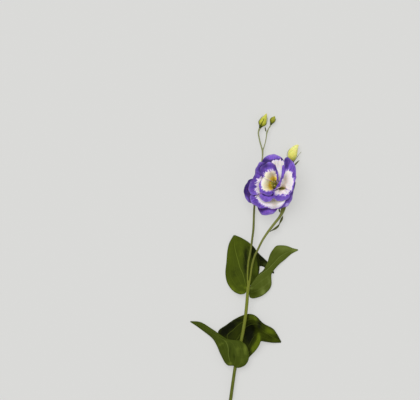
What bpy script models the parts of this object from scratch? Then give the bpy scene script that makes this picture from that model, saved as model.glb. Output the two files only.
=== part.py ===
"""One cut stem of double lisianthus lying on a table, as it came from the field.

The stem runs along +Y, the open bloom faces up (+Z) and the table is z = 0.
Lengths are in millimetres here and are turned into metres when a mesh is made.
"""
import math

import bmesh
import bpy
import numpy as np
from mathutils import Vector

MM = 0.001
MERGE = 0.00001                     # metres, for welding a curve's caps

LEAF_THICKNESS = 0.5
BRACT_THICKNESS = 0.45
PETAL_THICKNESS = 0.5
SEAT_GAP = 0.3                      # left between pieces that touch
PLANT_CENTRE = (2.0, -0.2)          # middle of the whole stem's box

BLOOM = (40.9, 104.4)               # middle of the bloom's base, seen from above
SEAT_HEIGHT = 11.7                  # top of the calyx, where petals stand
SEAT_RADIUS = 7.5
THROAT = (-1.2, 1.0)                # the pistil's foot, from the bloom's middle
LEAN = (-4.8, 3.6)                  # of the stamens' and the pistil's tops
ROLL = 0.55                         # drop of a rolled margin for each mm of its width
CELL = 0.5                          # net used to lay one petal on the others

# Main stem and branches: x, y, height, radius
MAIN_STEM = [
    (-22, -197, 2.15, 2.15), (-17, -162, 4.2, 2.15), (-11.8, -125, 6.9, 2.1),
    (-10.5, -118, 7.5, 2.3), (-9.2, -112, 7.9, 2), (-3, -84.5, 9.5, 2.05), (1, -62, 11, 2.05),
    (3.5, -38.8, 12.7, 2.05), (3.9, -32.5, 13.3, 2), (4.3, -27, 13.7, 1.9), (4.6, -22.5, 14, 2.2),
    (4.9, -20.5, 14, 1.9),
]
LEFT_BRANCH = [
    (4.6, -23, 14, 1.3), (4.2, -12, 13.6, 0.95), (4.1, -6, 13.1, 1), (4.5, 2.7, 12.4, 1.15),
    (5.5, 12.3, 11.6, 1.25), (6.9, 18.6, 11, 1.3), (8.5, 28.2, 10.1, 1.35), (10.6, 43.5, 8.8, 1.4),
    (11.5, 50.5, 8.2, 1.45), (13, 82, 6, 1.3), (16.5, 105, 5.5, 1.2), (20.5, 127, 6, 1.05),
    (23, 142, 6.5, 1), (23.1, 150.5, 7, 1.2),
]
MEDIUM_BUD_ARM = [
    (23.1, 149.5, 7, 1), (21.5, 155.5, 7, 0.95), (20, 160.5, 6.5, 0.9), (18.6, 167, 6, 0.9),
    (17.9, 171.5, 5.6, 0.95), (18.1, 174.2, 5.3, 1),
]
SMALL_BUD_ARM = [
    (23.1, 150, 7, 0.9), (24, 152, 7, 0.75), (25.6, 157, 7, 0.65), (27.1, 163, 7, 0.65),
    (28.1, 169.5, 6.8, 0.7), (28.6, 173, 6.6, 1), (31, 178.4, 6, 0.65),
]
RIGHT_BRANCH = [
    (5.3, -23, 14, 1.3), (7, -12, 14.1, 1.15), (7.9, -6, 13.9, 1.2), (9.1, 2.7, 13.4, 1.25),
    (11.2, 12.3, 13, 1.3), (13.3, 18.6, 12.6, 1.35), (16.6, 25, 12.2, 1.35),
    (19.4, 31.4, 11.8, 1.4), (22.6, 37.8, 11.4, 1.5), (26.4, 44.1, 11, 1.7),
    (30.9, 50.5, 10.4, 1.85), (38.4, 60, 9.6, 1.85), (43.4, 66, 9, 1.95), (47.1, 71.5, 8.5, 2.1),
    (50.3, 77, 8, 1.55), (53, 90, 7, 1.35), (55.3, 105, 6.3, 1.2), (57, 120, 6.6, 1.15),
    (58.6, 127, 7, 1.25),
]
BLOOM_PEDICEL = [
    (46.8, 71, 8.5, 1.8), (47.6, 80, 6.8, 1.6), (46, 92, 4.4, 1.6), (43, 100, 4.2, 1.7),
    (41.1, 103.8, 5.8, 2.0), (40.9, 104.4, 7.4, 2.2), (40.9, 104.4, 9.5, 3.0),
]

# Leaves: midrib, left edge and right edge from base to tip, then the arch of each half
LEAVES = {
    "upper_left_leaf": dict(
        rib=[(2.9, -23, 12.35), (1, -15, 9.5), (-2, -4, 6.8), (-5.5, 4, 5.4), (-8, 13, 4.4),
             (-10.5, 22, 3.6), (-12.4, 32, 3.4), (-12.8, 43.5, 4)],
        left=[(2.5, -25.5, 12.4), (1.2, -28.8, 11.4), (-4, -30.4, 9.4), (-10, -28.7, 7.3),
              (-16, -24.2, 5), (-21.6, -15.3, 2.2), (-23.6, -4, 0.9), (-22.3, 10.6, 0.8),
              (-21, 25, 1.8), (-18.8, 34, 2.6), (-13.4, 44, 4)],
        right=[(3.4, -20.8, 11.75), (8.5, -18.5, 9.2), (13.5, -13.2, 7.8), (17.5, -7.5, 6.6),
               (19.2, 0, 6), (19.3, 8, 5.6), (18.3, 16, 5.2), (14, 27, 5), (6.5, 34.5, 4.8),
               (-3, 40.5, 4.4), (-11.8, 44.2, 4)],
        arch=(1.0, 0.6)),
    "upper_right_leaf": dict(
        rib=[(6.75, -22, 12.55), (12.6, -14, 10.8), (17.5, -7.2, 9.6), (23.2, -3, 8.6), (29.5, 1.5, 7.2),
             (36, 7.8, 5.4), (45.5, 17.2, 3.4), (55.5, 22.8, 2), (67.5, 25.3, 0.7)],
        left=[(7.0, -20.3, 12.4), (12.9, -11.8, 11), (18.4, -4.6, 10.2), (23.4, -0.3, 9.6), (27, 5.5, 9.2),
              (29.5, 11, 8.4), (33.2, 21.5, 6.8), (36.4, 26.3, 6), (39.7, 30.1, 5.2), (41.8, 31, 4.8),
              (47.4, 31.3, 3.8), (53.7, 30.5, 2.8), (61.4, 27.6, 1.6), (68, 26, 0.7)],
        right=[(6.2, -24.2, 12.3), (6.2, -29.5, 10.2), (6.9, -34, 8.8), (11, -35.5, 7.4), (17, -34.4, 6),
               (23.2, -31.9, 4.8), (29, -27.4, 4), (33, -22.5, 3.6), (34.6, -16, 3.8), (33.8, -7.5, 4.2),
               (36.5, -1.5, 4.4), (44.8, 7.8, 3.4), (51.8, 13.5, 2.2), (59.5, 20.2, 1.2),
               (68, 24.7, 0.7)],
        arch=(0.3, 1.0)),
    "upper_back_leaf": dict(
        rib=[(3.9, -30, 11.2), (5, -22, 7.6), (7, -8, 4), (8.5, 6, 2.8), (12, 16, 2.3),
             (22, 11, 2), (30, 3.5, 1.6), (37.5, -3.8, 1.1)],
        left=[(3.2, -29.6, 11.2), (1.5, -18, 6), (0.5, -4, 3.2), (0.5, 14, 2.4), (6, 31, 2.4),
              (21, 18.5, 1.8), (32, 7.5, 1.4), (38, -3.2, 1.1)],
        right=[(4.6, -29.8, 11.2), (7.5, -20, 7), (12, -8, 3.6), (16, 0, 2.4), (19.5, 4.6, 2.2),
               (24.5, 4, 1.8), (30, -1.5, 1.4), (37.3, -4.6, 1.1)],
        arch=(0.2, 0.2)),
    "lower_front_leaf": dict(
        rib=[(-13.2, -120, 10.2), (-17.6, -115, 12.2), (-20, -106, 14), (-20.4, -97, 14.2),
             (-23.5, -89, 13), (-33, -82.8, 10), (-45, -75.5, 6.5), (-57.5, -69.3, 3),
             (-67.5, -64.7, 0.8)],
        left=[(-10, -122.3, 10), (-6.5, -122.5, 9.6), (1, -119.4, 9), (5.5, -112.5, 8.8),
              (6, -104, 9), (1.5, -93, 11.6), (-6, -88.2, 12.6), (-19.8, -86.4, 12.5),
              (-40, -73.8, 7), (-55, -65.2, 3), (-67.8, -64.1, 0.8)],
        right=[(-15, -119.8, 10.2), (-20.5, -119.4, 9.4), (-24.6, -115.5, 8.6), (-28, -109, 7.8),
               (-31, -103, 7.2), (-33.6, -96.5, 6.4), (-39.6, -86.3, 4.4), (-51.6, -76.6, 2),
               (-60, -70.5, 1), (-67.8, -65.3, 0.8)],
        arch=(1.6, 0.8)),
    "lower_back_leaf": dict(
        rib=[(-8.55, -117, 5.8), (-4, -108, 4.5), (0, -99, 3.5), (3.5, -90, 3), (7, -81, 3.2),
             (12, -75.4, 4.5), (19, -74, 11.5), (26, -78, 10), (35.5, -84, 6), (46.4, -90.4, 1.2)],
        left=[(-10.3, -115.4, 4.85), (-20, -97, 3), (-33, -78, 1.6), (-22, -68.5, 3),
              (-10, -60.4, 4), (4, -54.9, 6), (13.5, -56.5, 9.5), (24, -66.4, 9), (36.5, -73.5, 6),
              (41, -79.5, 4), (46.8, -89.9, 1.2)],
        right=[(-6.4, -118, 6.2), (2, -113.5, 6.5), (8.5, -106.8, 7.6), (14.3, -100.6, 9.2),
               (18, -95, 10.5), (20, -91, 11), (21.2, -89.2, 9.5), (26.5, -90, 7), (36, -91.4, 4),
               (46.4, -91.4, 1.2)],
        arch=(0.0, -0.8)),
}

# Bracts: midrib and half width at the middle
BRACTS = {
    "long_bract": ([(32.6, 48.6, 8.8), (36, 50.8, 9.2), (40, 53.6, 9.2), (43.6, 56.9, 9),
                    (45.9, 60.1, 8.8), (48.3, 64.5, 8.6), (50.2, 69, 8.4)], 1.5),
    "short_bract": ([(44.65, 72.7, 8.2), (44.0, 76, 7), (43.4, 80, 6)], 0.8),
    "bud_bract": ([(61.9, 131.3, 7), (64.2, 133, 7), (66.8, 135.6, 7),
                   (69.4, 138.0, 6.8)], 0.9),
    "fork_bract": ([(27.3, 174, 6.6), (26.7, 177.2, 6.6), (26.1, 180.1, 6.4)], 0.7),
}

# Petals, outermost first: base, how it widens on its way out, power of its climb, then the edge's
# line as x, y, height of the crest over the seat and width of the margin rolled out beyond it
PETALS = {
    "guard_petal_front": dict(base=(-1, -5), fullness=0.55, crest=[
        (-27, -22, 15, 4), (-23, -29.5, 14, 6), (-18, -34.3, 13, 7), (-11, -35, 13, 7),
        (-5, -34.5, 13, 7), (-1, -31.5, 14, 6), (2, -26.5, 16, 4)]),
    "guard_petal_right": dict(base=(5.5, 1), fullness=0.55, crest=[
        (19, 26, 20, 4), (23.2, 20, 19, 6), (23.2, 9, 18, 7), (21.5, -2, 18, 6), (18.5, -10, 19, 4)]),
    "guard_petal_back": dict(base=(0.6, 7.2), fullness=0.55, crest=[
        (-26, 20, 19, 4), (-22.5, 27, 18, 6), (-17, 34, 17, 7), (-5, 36, 18, 6), (5, 33, 20, 4)]),
    "guard_petal_left": dict(base=(-6, -1), fullness=0.55, crest=[
        (-28, 13, 17, 3), (-34, 9.5, 16, 5), (-38.5, 4.5, 15, 6), (-41.3, -2, 14, 7),
        (-41, -9.5, 14, 7), (-38, -16.5, 14, 7), (-32, -20.5, 15, 6), (-25, -22, 16, 4)]),
    "side_petal": dict(base=(4.5, -4), fullness=0.6, crest=[
        (21.5, 12, 24, 3), (21.5, 1, 23, 5), (19.5, -9, 22, 6), (18.5, -16, 21, 7),
        (14.5, -22, 20, 8), (8.5, -26, 19, 8), (1, -27.5, 19, 6), (-4, -27, 20, 3)]),
    "arch_petal": dict(base=(-1, 6), fullness=0.7, power=1.15, crest=[
        (-20, 26.5, 25, 3), (-19.3, 32, 24, 6), (-15.5, 37, 23, 8), (-10, 40, 23, 9),
        (-4, 40.8, 23, 9), (1, 39.3, 24, 8), (5.5, 36.5, 25, 6), (9, 32, 26, 4), (10.5, 28, 27, 3)]),
    "crescent_petal": dict(base=(-2.5, -5.5), fullness=0.7, crest=[
        (-33, -6, 24, 3), (-35, -12, 23, 6), (-33, -18.5, 22, 8), (-28.5, -22.8, 21, 9),
        (-23, -26.3, 20, 8), (-16.5, -26.5, 20, 6), (-11, -27.3, 20, 5), (-5, -28, 20, 5),
        (1, -27, 20, 5), (6, -24.5, 21, 4), (11, -20.5, 22, 4), (14, -14, 24, 3)]),
    "left_petal": dict(base=(-7, 0.5), fullness=0.8, crest=[
        (-16.5, 34, 26, 4), (-21.5, 31.5, 27, 7), (-25, 27.5, 27, 8), (-27, 21.5, 27, 9),
        (-28.5, 15, 26, 9), (-30.5, 11, 26, 9), (-32.5, 8, 25, 9), (-35.5, 1, 25, 9),
        (-36, -4, 25, 8), (-33.5, -9, 26, 6), (-29, -11.5, 28, 3)]),
    "trough_petal": dict(base=(1.7, 3), fullness=1, power=5, width=3, corner=0, crest=[
        (-8.5, 31, 29, 2), (-6.5, 33.8, 29, 3), (-3, 35, 30, 3), (1.5, 35, 30, 3), (5, 35, 30, 3),
        (8, 33.5, 30, 3), (9.6, 31, 30, 3), (10.6, 28, 30, 2)]),
    "lower_lip_petal": dict(base=(-5.5, -2.5), fullness=1, crest=[
        (-23, -9, 33, 2), (-22.5, -12.5, 32, 4), (-19, -16.5, 31, 6), (-14, -19, 30, 7),
        (-9, -17.5, 31, 6), (-6, -15, 32, 4), (-5, -11, 34, 2)]),
    "throat_petal_lower": dict(base=(-5.2, 0.8), fullness=1, power=2.2, width=7, corner=0, crest=[
        (-12.5, 17.5, 33, 1.5), (-18, 11, 34, 2), (-21.5, 6.5, 34, 2.5), (-23, 1.5, 34, 2.5),
        (-22.5, -4, 34, 3), (-19.5, -8, 34, 5), (-14, -10.5, 34, 6), (-9, -10.8, 34, 6),
        (-6, -8.5, 33, 3), (-4.5, -5.5, 31, 1.5)]),
    "throat_petal_upper": dict(base=(-4.4, 7.6), fullness=1, power=1.9, width=8, corner=0.06, crest=[
        (-18.5, 11.5, 36, 3), (-21.3, 15.5, 36, 5), (-22.3, 20.5, 37, 7), (-20, 24.8, 37, 8),
        (-16, 28.5, 38, 9), (-11, 30.5, 38, 9), (-6.5, 30, 37, 8), (-3, 27.5, 35, 6),
        (-1, 23, 33, 4), (0.8, 16, 30, 3.5), (1.2, 10, 28, 2.5), (1.8, 5.5, 27, 1.5)]),
    "right_petal": dict(base=(7.5, -1.2), fullness=1, power=2.6, width=7, corner=0, crest=[
        (-6.5, -5.5, 27, 1.5), (-0.7, 0.8, 27, 2), (2.6, 5.6, 28, 2), (3.8, 11, 29, 3),
        (4.9, 17, 31, 4), (5.5, 22, 32, 4), (6, 25.8, 33, 4), (8.6, 28.3, 33, 6), (8.4, 32.5, 32.5, 8),
        (9.3, 35.4, 32.5, 9), (12.6, 37.2, 32, 10), (17, 34, 31, 12), (21.5, 28, 30, 10),
        (23.2, 21, 30, 7), (22.6, 10, 30, 2.5), (20, -2, 30, 2), (16.5, -9.5, 31, 2)]),
    "front_petal": dict(base=(5.5, -3.2), fullness=1, power=2.2, width=7, corner=0.06, crest=[
        (17, -4, 30, 2), (16.5, -9, 30, 4), (14, -14.5, 29, 6), (9, -17, 29, 6.5),
        (2.5, -17.5, 29, 6.5), (-3, -16, 29, 6), (-5.5, -12, 30, 4), (-5, -6, 31, 2)]),
}
PETAL_WIDTH = 3.5                   # of a petal at its base
PETAL_POWER = 1.3                   # how fast a petal's wall flattens towards its crest
PETAL_CORNER = 0.12                 # share of its reach that a petal loses at its corners
PETAL_RISE = 0.86                   # of the heights in the table of petals
PETAL_ROWS = 8
PETAL_COLUMNS = 9
ROW_CROWDING = 1.2                  # power that draws the rows towards the base
CORNER_POWER = 7                    # how near its end a petal's corner begins
LAY_ROUNDS = 30                     # tries at raising a petal clear of those under it
LAY_STEP = 0.5                      # share of what is missing that is made up in each

STAMEN_ANGLES = [40, 105, 175, 245, 310]      # degrees round the throat
STAMEN_SPREAD = (1.85, 3.1)                    # at the foot and at the anther
STAMEN_LINE = [(12.1, 0.35), (20, 0.3), (30, 0.3), (31, 0.85), (34, 0.8), (35, 0.3)]  # height, radius
PISTIL_LINE = [(12.1, 1.1), (16, 1.2), (21, 0.9), (23, 0.5), (33.5, 0.5), (34.5, 1.6), (36, 1.2)]
LEAN_POWER = 1.5                               # how late the tops begin to lean

# Buds: corolla as x, y, height, radius, then each sepal's place round the bud in degrees, how far it
# leans out at its tip and how far up the bud it goes
BUDS = {
    "large_bud": dict(
        corolla=[(60.3, 136.4, 7.3, 1.8), (60.2, 139.2, 7.4, 4.1), (60.2, 142.6, 7.5, 5.5),
                 (60.9, 146.6, 7.5, 5.9), (62.5, 150.6, 7.4, 4.9), (64.9, 154.1, 7.3, 3.3),
                 (67.2, 156.3, 7.3, 1.9), (69, 156.8, 7.3, 0.8)],
        pedicel=RIGHT_BRANCH, pedicel_radius=1.7,
        sepals=[(-14, 4.4, 0.5), (-60, 1, 0.75), (-100, 0.6, 0.75), (-140, 1, 0.75),
                (190, 2, 0.75)]),
    "medium_bud": dict(
        corolla=[(20.6, 180.4, 5.6, 1.3), (21.6, 182.6, 5.6, 3.7), (23.1, 185.5, 5.6, 4.7),
                 (24.7, 188.8, 5.6, 3.9), (26.4, 192.6, 5.6, 2.4), (28.3, 197, 5.6, 0.6)],
        pedicel=MEDIUM_BUD_ARM, pedicel_radius=1.2,
        sepals=[(95, 0.1, 0.6), (165, 0.3, 0.75), (235, 0.5, 0.75), (300, 0.5, 0.75),
                (12, 0.3, 0.75)]),
    "small_bud": dict(
        corolla=[(34.1, 184.3, 4.6, 1), (34.9, 186.2, 4.6, 2.5), (35.9, 188.6, 4.6, 3.2),
                 (37, 190.7, 4.6, 2.3), (38.7, 193.6, 4.6, 0.5)],
        pedicel=SMALL_BUD_ARM, pedicel_radius=0.8,
        sepals=[(30, 0.2, 0.75), (150, 0.2, 0.75), (215, 0.3, 0.75), (270, 0.3, 0.75),
                (325, 0.3, 0.75)]),
}
CALYX_DEPTH = 2.0                   # length of the cup under a bud
CALYX_FLARE = 0.5                   # of a cup's lip beyond the bud's foot
PEDICEL_GAP = 1.0                   # between a pedicel's end and the cup
NECK = 2.0                          # straight end of a pedicel
SEPAL_RADIUS = 0.45
SEPAL_TAPER = 0.54                  # of a sepal from foot to tip
SEPAL_CLEARANCE = 1.1               # from the bud's skin to a sepal's middle line
SEPAL_SHARES = (0, 0.33, 0.67, 1)   # of its own length, where a sepal's line is placed
CALYX_CUP = [(9.9, 3.4), (10.6, 5.6), (SEAT_HEIGHT, SEAT_RADIUS)]      # of the bloom: height, radius
CALYX_LOBE = [(4, 10.7, 0.7), (8.5, 11.4, 0.8), (13, 13.6, 0.65), (17, 16, 0.3)]   # reach, height, radius
LOBE_COUNT = 5
FIRST_LOBE = 18                     # degrees

COLOURS = {
    "stem": (0.17, 0.19, 0.05), "leaf": (0.05, 0.08, 0.01), "petal": (0.75, 0.70, 0.72),
    "bud": (0.62, 0.60, 0.20), "calyx": (0.14, 0.18, 0.03), "anther": (0.45, 0.25, 0.03),
    "pistil": (0.35, 0.40, 0.08),
}


def clear_scene():
    for obj in list(bpy.data.objects):
        bpy.data.objects.remove(obj)


def new_collection(name):
    collection = bpy.data.collections.new(name)
    bpy.context.scene.collection.children.link(collection)
    return collection


def make_materials():
    materials = {}
    for name, colour in COLOURS.items():
        material = bpy.data.materials.new(name)
        material.use_nodes = True
        shader = material.node_tree.nodes["Principled BSDF"]
        shader.inputs["Base Color"].default_value = (*colour, 1)
        shader.inputs["Roughness"].default_value = 0.55
        shader.inputs["Metallic"].default_value = 0.0
        materials[name] = material
    return materials


def smooth_line(points, count):
    """A smooth curve through hand-placed points, as count evenly spaced rows of numbers."""
    points = np.array(points, float)
    steps = np.linalg.norm(np.diff(points[:, :3], axis=0), axis=1)
    knots = np.concatenate([[0], np.cumsum(np.sqrt(steps))])
    slopes = np.gradient(points, knots, axis=0)
    fine = np.linspace(0, knots[-1], count * 12)
    span = np.clip(np.searchsorted(knots, fine, side="right") - 1, 0, len(knots) - 2)
    width = (knots[span + 1] - knots[span])[:, None]
    t = ((fine - knots[span]) / width[:, 0])[:, None]
    curve = ((2 * t**3 - 3 * t**2 + 1) * points[span] + (t**3 - 2 * t**2 + t) * width * slopes[span]
             + (3 * t**2 - 2 * t**3) * points[span + 1] + (t**3 - t**2) * width * slopes[span + 1])
    walked = np.concatenate([[0], np.cumsum(np.linalg.norm(np.diff(curve[:, :3], axis=0), axis=1))])
    wanted = np.linspace(0, walked[-1], count)
    return np.stack([np.interp(wanted, walked, column) for column in curve.T], axis=1)


def add_object(name, mesh, collection, material, plant):
    obj = bpy.data.objects.new(name, mesh)
    mesh.materials.clear()
    mesh.materials.append(material)
    collection.objects.link(obj)
    obj.parent = plant
    return obj


def tube_mesh(name, line, sides=8):
    """A round solid of changing radius along rows of x, y, z, radius, its caps welded on."""
    curve = bpy.data.curves.new(name, "CURVE")
    curve.dimensions = "3D"
    curve.bevel_depth = MM
    curve.bevel_resolution = (sides - 4) // 2
    curve.use_fill_caps = True
    spline = curve.splines.new("POLY")
    spline.points.add(len(line) - 1)
    for point, (x, y, z, radius) in zip(spline.points, line):
        point.co = (x * MM, y * MM, z * MM, 1)
        point.radius = radius
    guide = bpy.data.objects.new(name + "_curve", curve)
    bpy.context.scene.collection.objects.link(guide)
    evaluated = guide.evaluated_get(bpy.context.evaluated_depsgraph_get())
    mesh = bpy.data.meshes.new_from_object(evaluated)
    bpy.data.objects.remove(guide)
    shape = bmesh.new()
    shape.from_mesh(mesh)
    bmesh.ops.remove_doubles(shape, verts=shape.verts, dist=MERGE)
    bmesh.ops.recalc_face_normals(shape, faces=shape.faces)
    shape.to_mesh(mesh)
    shape.free()
    mesh.shade_smooth()
    return mesh


def add_joined(name, meshes, parts, cutters, material, plant):
    """One solid from several: the first mesh with the others united to it."""
    main = add_object(name, meshes[0], parts, material, plant)
    for number, mesh in enumerate(meshes[1:], 1):
        limb = add_object(f"{name}_limb_{number}", mesh, cutters, material, plant)
        limb.hide_render = True
        limb.display_type = "WIRE"
        union = main.modifiers.new("union", "BOOLEAN")
        union.operation = "UNION"
        union.solver = "EXACT"
        union.object = limb
    return main


def sheet_mesh(name, rows):
    """An open sheet: a grid whose points are moved to rows[i][j], its upper side up."""
    count_along, count_across = rows.shape[:2]
    shape = bmesh.new()
    bmesh.ops.create_grid(shape, x_segments=count_along - 1, y_segments=count_across - 1, size=1)
    for vertex in shape.verts:
        i = round((vertex.co.x + 1) / 2 * (count_along - 1))
        j = round((vertex.co.y + 1) / 2 * (count_across - 1))
        vertex.co = Vector(rows[i, j]) * MM
    shape.normal_update()
    if sum(face.normal.z * face.calc_area() for face in shape.faces) < 0:
        bmesh.ops.reverse_faces(shape, faces=shape.faces)
    mesh = bpy.data.meshes.new(name)
    shape.to_mesh(mesh)
    shape.free()
    mesh.shade_smooth()
    return mesh


def add_sheet(name, rows, thickness, collection, material, plant):
    obj = add_object(name, sheet_mesh(name, rows), collection, material, plant)
    wall = obj.modifiers.new("thickness", "SOLIDIFY")
    wall.thickness = thickness * MM
    wall.offset = -1
    return obj


def leaf_rows(rib, left, right, arch, count=12, half_columns=3):
    """Rows of points across a leaf, each half bowed up by its arch between edge and midrib."""
    rib, left, right = (smooth_line(line, count) for line in (rib, left, right))
    rows = np.zeros((count, 2 * half_columns + 1, 3))
    for column in range(-half_columns, half_columns + 1):
        share = abs(column) / half_columns
        edge, bow = (left, arch[0]) if column < 0 else (right, arch[1])
        line = rib + (edge - rib) * share
        line[:, 2] += bow * 4 * share * (1 - share) * np.sin(np.linspace(0, math.pi, count))
        rows[:, column + half_columns] = line
    return rows


def bract_rows(rib, half_width, count=7):
    """A lance-shaped strip along its midrib, widest a third of the way up."""
    line = smooth_line(rib, count)
    along = np.gradient(line, axis=0)
    across = np.stack([-along[:, 1], along[:, 0], np.zeros(count)], axis=1)
    across /= np.linalg.norm(across, axis=1)[:, None]
    share = np.linspace(0, 1, count)
    width = half_width * (0.35 + 0.65 * np.sin(math.pi * share**0.7)) * (1 - 0.6 * share**2)
    side = across * width[:, None]
    return np.stack([line + side, line, line - side], axis=1)


def petal_rows(petal, columns, rows):
    """Rows from a petal's base to its margin: a funnel wall up to the crest, then a rolled edge."""
    line = smooth_line(petal["crest"], columns)
    base = np.array(petal["base"], float)
    tip = line[columns // 2, :2]
    side = np.array([tip[1] - base[1], base[0] - tip[0]]) / np.linalg.norm(tip - base)
    first_side = np.sign(np.dot(line[0, :2] - line[-1, :2], side))
    power = petal.get("power", PETAL_POWER)
    points = np.zeros((columns, rows, 3))
    share = np.linspace(0, 1, rows) ** ROW_CROWDING
    for column, (x, y, height, roll) in enumerate(line):
        from_middle = 2 * column / (columns - 1) - 1
        shift = -0.5 * from_middle * petal.get("width", PETAL_WIDTH) * first_side * side
        edge = np.array([x, y])
        cut = petal.get("corner", PETAL_CORNER) * abs(from_middle) ** CORNER_POWER
        edge = edge + (base + shift - edge) * cut
        reach = np.linalg.norm(edge - base - shift)
        lip = max(1 - roll / reach, 0.5)
        across = shift + (edge - tip - shift) * (share ** petal["fullness"])[:, None]
        points[column, :, :2] = base + (tip - base) * share[:, None] + across
        climb = 1 - (1 - np.minimum(share / lip, 1)) ** power
        drop = np.maximum(share - lip, 0) * reach / roll
        points[column, :, 2] = PETAL_RISE * height * climb - ROLL * roll * drop**2
    points[..., :2] += BLOOM
    points[..., 2] += SEAT_HEIGHT + SEAT_GAP + PETAL_THICKNESS
    return points


def finer(points, times):
    """The same sheet with its cells divided, for reading its height between its points."""
    for axis in (0, 1):
        count = points.shape[axis]
        wanted = np.linspace(0, count - 1, (count - 1) * times + 1)
        low = np.minimum(wanted.astype(int), count - 2)
        part = (wanted - low).reshape((-1, 1, 1) if axis == 0 else (1, -1, 1))
        points = np.take(points, low, axis) * (1 - part) + np.take(points, low + 1, axis) * part
    return points


class Pile:
    """Height of the petals laid so far, over a square net centred on the bloom."""

    def __init__(self, half_width=50):
        self.half_width = half_width
        self.size = int(2 * half_width / CELL) + 1
        place = (np.arange(self.size) * CELL) - half_width
        radius = np.hypot(place[:, None], place[None, :])
        self.top = np.where(radius < SEAT_RADIUS, SEAT_HEIGHT, -100.0)

    def cells(self, points):
        place = (points[..., :2] - BLOOM + self.half_width) / CELL
        place = np.clip(np.rint(place).astype(int), 0, self.size - 1)
        return place[..., 0], place[..., 1]

    def spread(self, reach):
        """The top surface grown sideways, so that steep walls keep their distance too."""
        grown = self.top.copy()
        for dx in range(-reach, reach + 1):
            for dy in range(-reach, reach + 1):
                if dx * dx + dy * dy <= reach * reach + 1:
                    grown = np.maximum(grown, np.roll(self.top, (dx, dy), (0, 1)))
        return grown

    def lay(self, points, times=8):
        """Raise the sheet's points until it clears the pile, and add it to the pile."""
        floor = self.spread(1) + PETAL_THICKNESS + SEAT_GAP
        for _ in range(LAY_ROUNDS):
            fine = finer(points, times)
            short = np.maximum(floor[self.cells(fine)] - fine[..., 2], 0)
            for i in range(points.shape[0]):
                for j in range(points.shape[1]):
                    near = short[max(0, (i - 1) * times + 1):(i + 1) * times,
                                 max(0, (j - 1) * times + 1):(j + 1) * times]
                    points[i, j, 2] += LAY_STEP * near.max()
        fine = finer(points, times)
        points[..., 2] -= (fine[..., 2] - floor[self.cells(fine)]).min()
        fine = finer(points, times)
        np.maximum.at(self.top, self.cells(fine), fine[..., 2])
        return points


def bud_axis(corolla):
    first, second = (Vector(row[:3]) for row in corolla[:2])
    return (second - first).normalized()


def to_bud(bud):
    """A pedicel's line carried on to just under the calyx of its bud."""
    axis = bud_axis(bud["corolla"])
    foot = Vector(bud["corolla"][0][:3]) - axis * (CALYX_DEPTH + PEDICEL_GAP)
    neck = foot - axis * NECK
    return bud["pedicel"] + [(*neck, bud["pedicel_radius"]), (*foot, bud["pedicel_radius"])]


def add_stem(parts, cutters, material, plant):
    limbs = [(MAIN_STEM, 32), (LEFT_BRANCH, 16), (to_bud(BUDS["large_bud"]), 30),
             (BLOOM_PEDICEL, 17), (to_bud(BUDS["medium_bud"]), 12),
             (to_bud(BUDS["small_bud"]), 13)]
    meshes = [tube_mesh(f"limb_{number}", smooth_line(line, count))
              for number, (line, count) in enumerate(limbs)]
    add_joined("stem", meshes, parts, cutters, material, plant)


def add_leaves(parts, material, plant):
    for name, leaf in LEAVES.items():
        rows = leaf_rows(leaf["rib"], leaf["left"], leaf["right"], leaf["arch"])
        add_sheet(name, rows, LEAF_THICKNESS, parts, material, plant)
    for name, (rib, half_width) in BRACTS.items():
        add_sheet(name, bract_rows(rib, half_width), BRACT_THICKNESS, parts, material, plant)


def add_bloom_calyx(parts, cutters, material, plant):
    x, y = BLOOM
    meshes = [tube_mesh("calyx_cup", [(x, y, height, radius) for height, radius in CALYX_CUP], sides=12)]
    for number in range(LOBE_COUNT):
        angle = math.radians(FIRST_LOBE + 360 / LOBE_COUNT * number)
        line = [(x + math.cos(angle) * reach, y + math.sin(angle) * reach, height, radius)
                for reach, height, radius in CALYX_LOBE]
        meshes.append(tube_mesh(f"calyx_lobe_{number}", smooth_line(line, 5), sides=6))
    add_joined("bloom_calyx", meshes, parts, cutters, material, plant)


def add_petals(parts, material, plant):
    pile = Pile()
    for name, petal in PETALS.items():
        columns = PETAL_COLUMNS + (4 if len(petal["crest"]) > 9 else 0)
        rows = pile.lay(petal_rows(petal, columns, PETAL_ROWS))
        add_sheet(name, rows, PETAL_THICKNESS, parts, material, plant)


def leaning_line(profile, direction, spread):
    """A line up from the throat: rows of height and radius, leaning over towards the top."""
    x, y = BLOOM[0] + THROAT[0], BLOOM[1] + THROAT[1]
    foot, top = profile[0][0], profile[-1][0]
    line = []
    for height, radius in profile:
        rise = (height - foot) / (top - foot)
        reach = spread[0] + (spread[1] - spread[0]) * rise
        lean_x, lean_y = (reach * way + lean * rise**LEAN_POWER for way, lean in zip(direction, LEAN))
        line.append((x + lean_x, y + lean_y, height, radius))
    return line


def add_throat(parts, materials, plant):
    for number, degrees in enumerate(STAMEN_ANGLES, 1):
        angle = math.radians(degrees)
        line = leaning_line(STAMEN_LINE, (math.cos(angle), math.sin(angle)), STAMEN_SPREAD)
        mesh = tube_mesh(f"stamen_{number}", line, sides=6)
        add_object(f"stamen_{number}", mesh, parts, materials["anther"], plant)
    mesh = tube_mesh("pistil", leaning_line(PISTIL_LINE, (0, 0), (0, 0)), sides=8)
    add_object("pistil", mesh, parts, materials["pistil"], plant)


def row_at(line, share):
    """Middle and radius of a bud, a share of the way up its line."""
    row = [np.interp(share * (len(line) - 1), range(len(line)), column) for column in line.T]
    return Vector(row[:3]), row[3]


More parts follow.
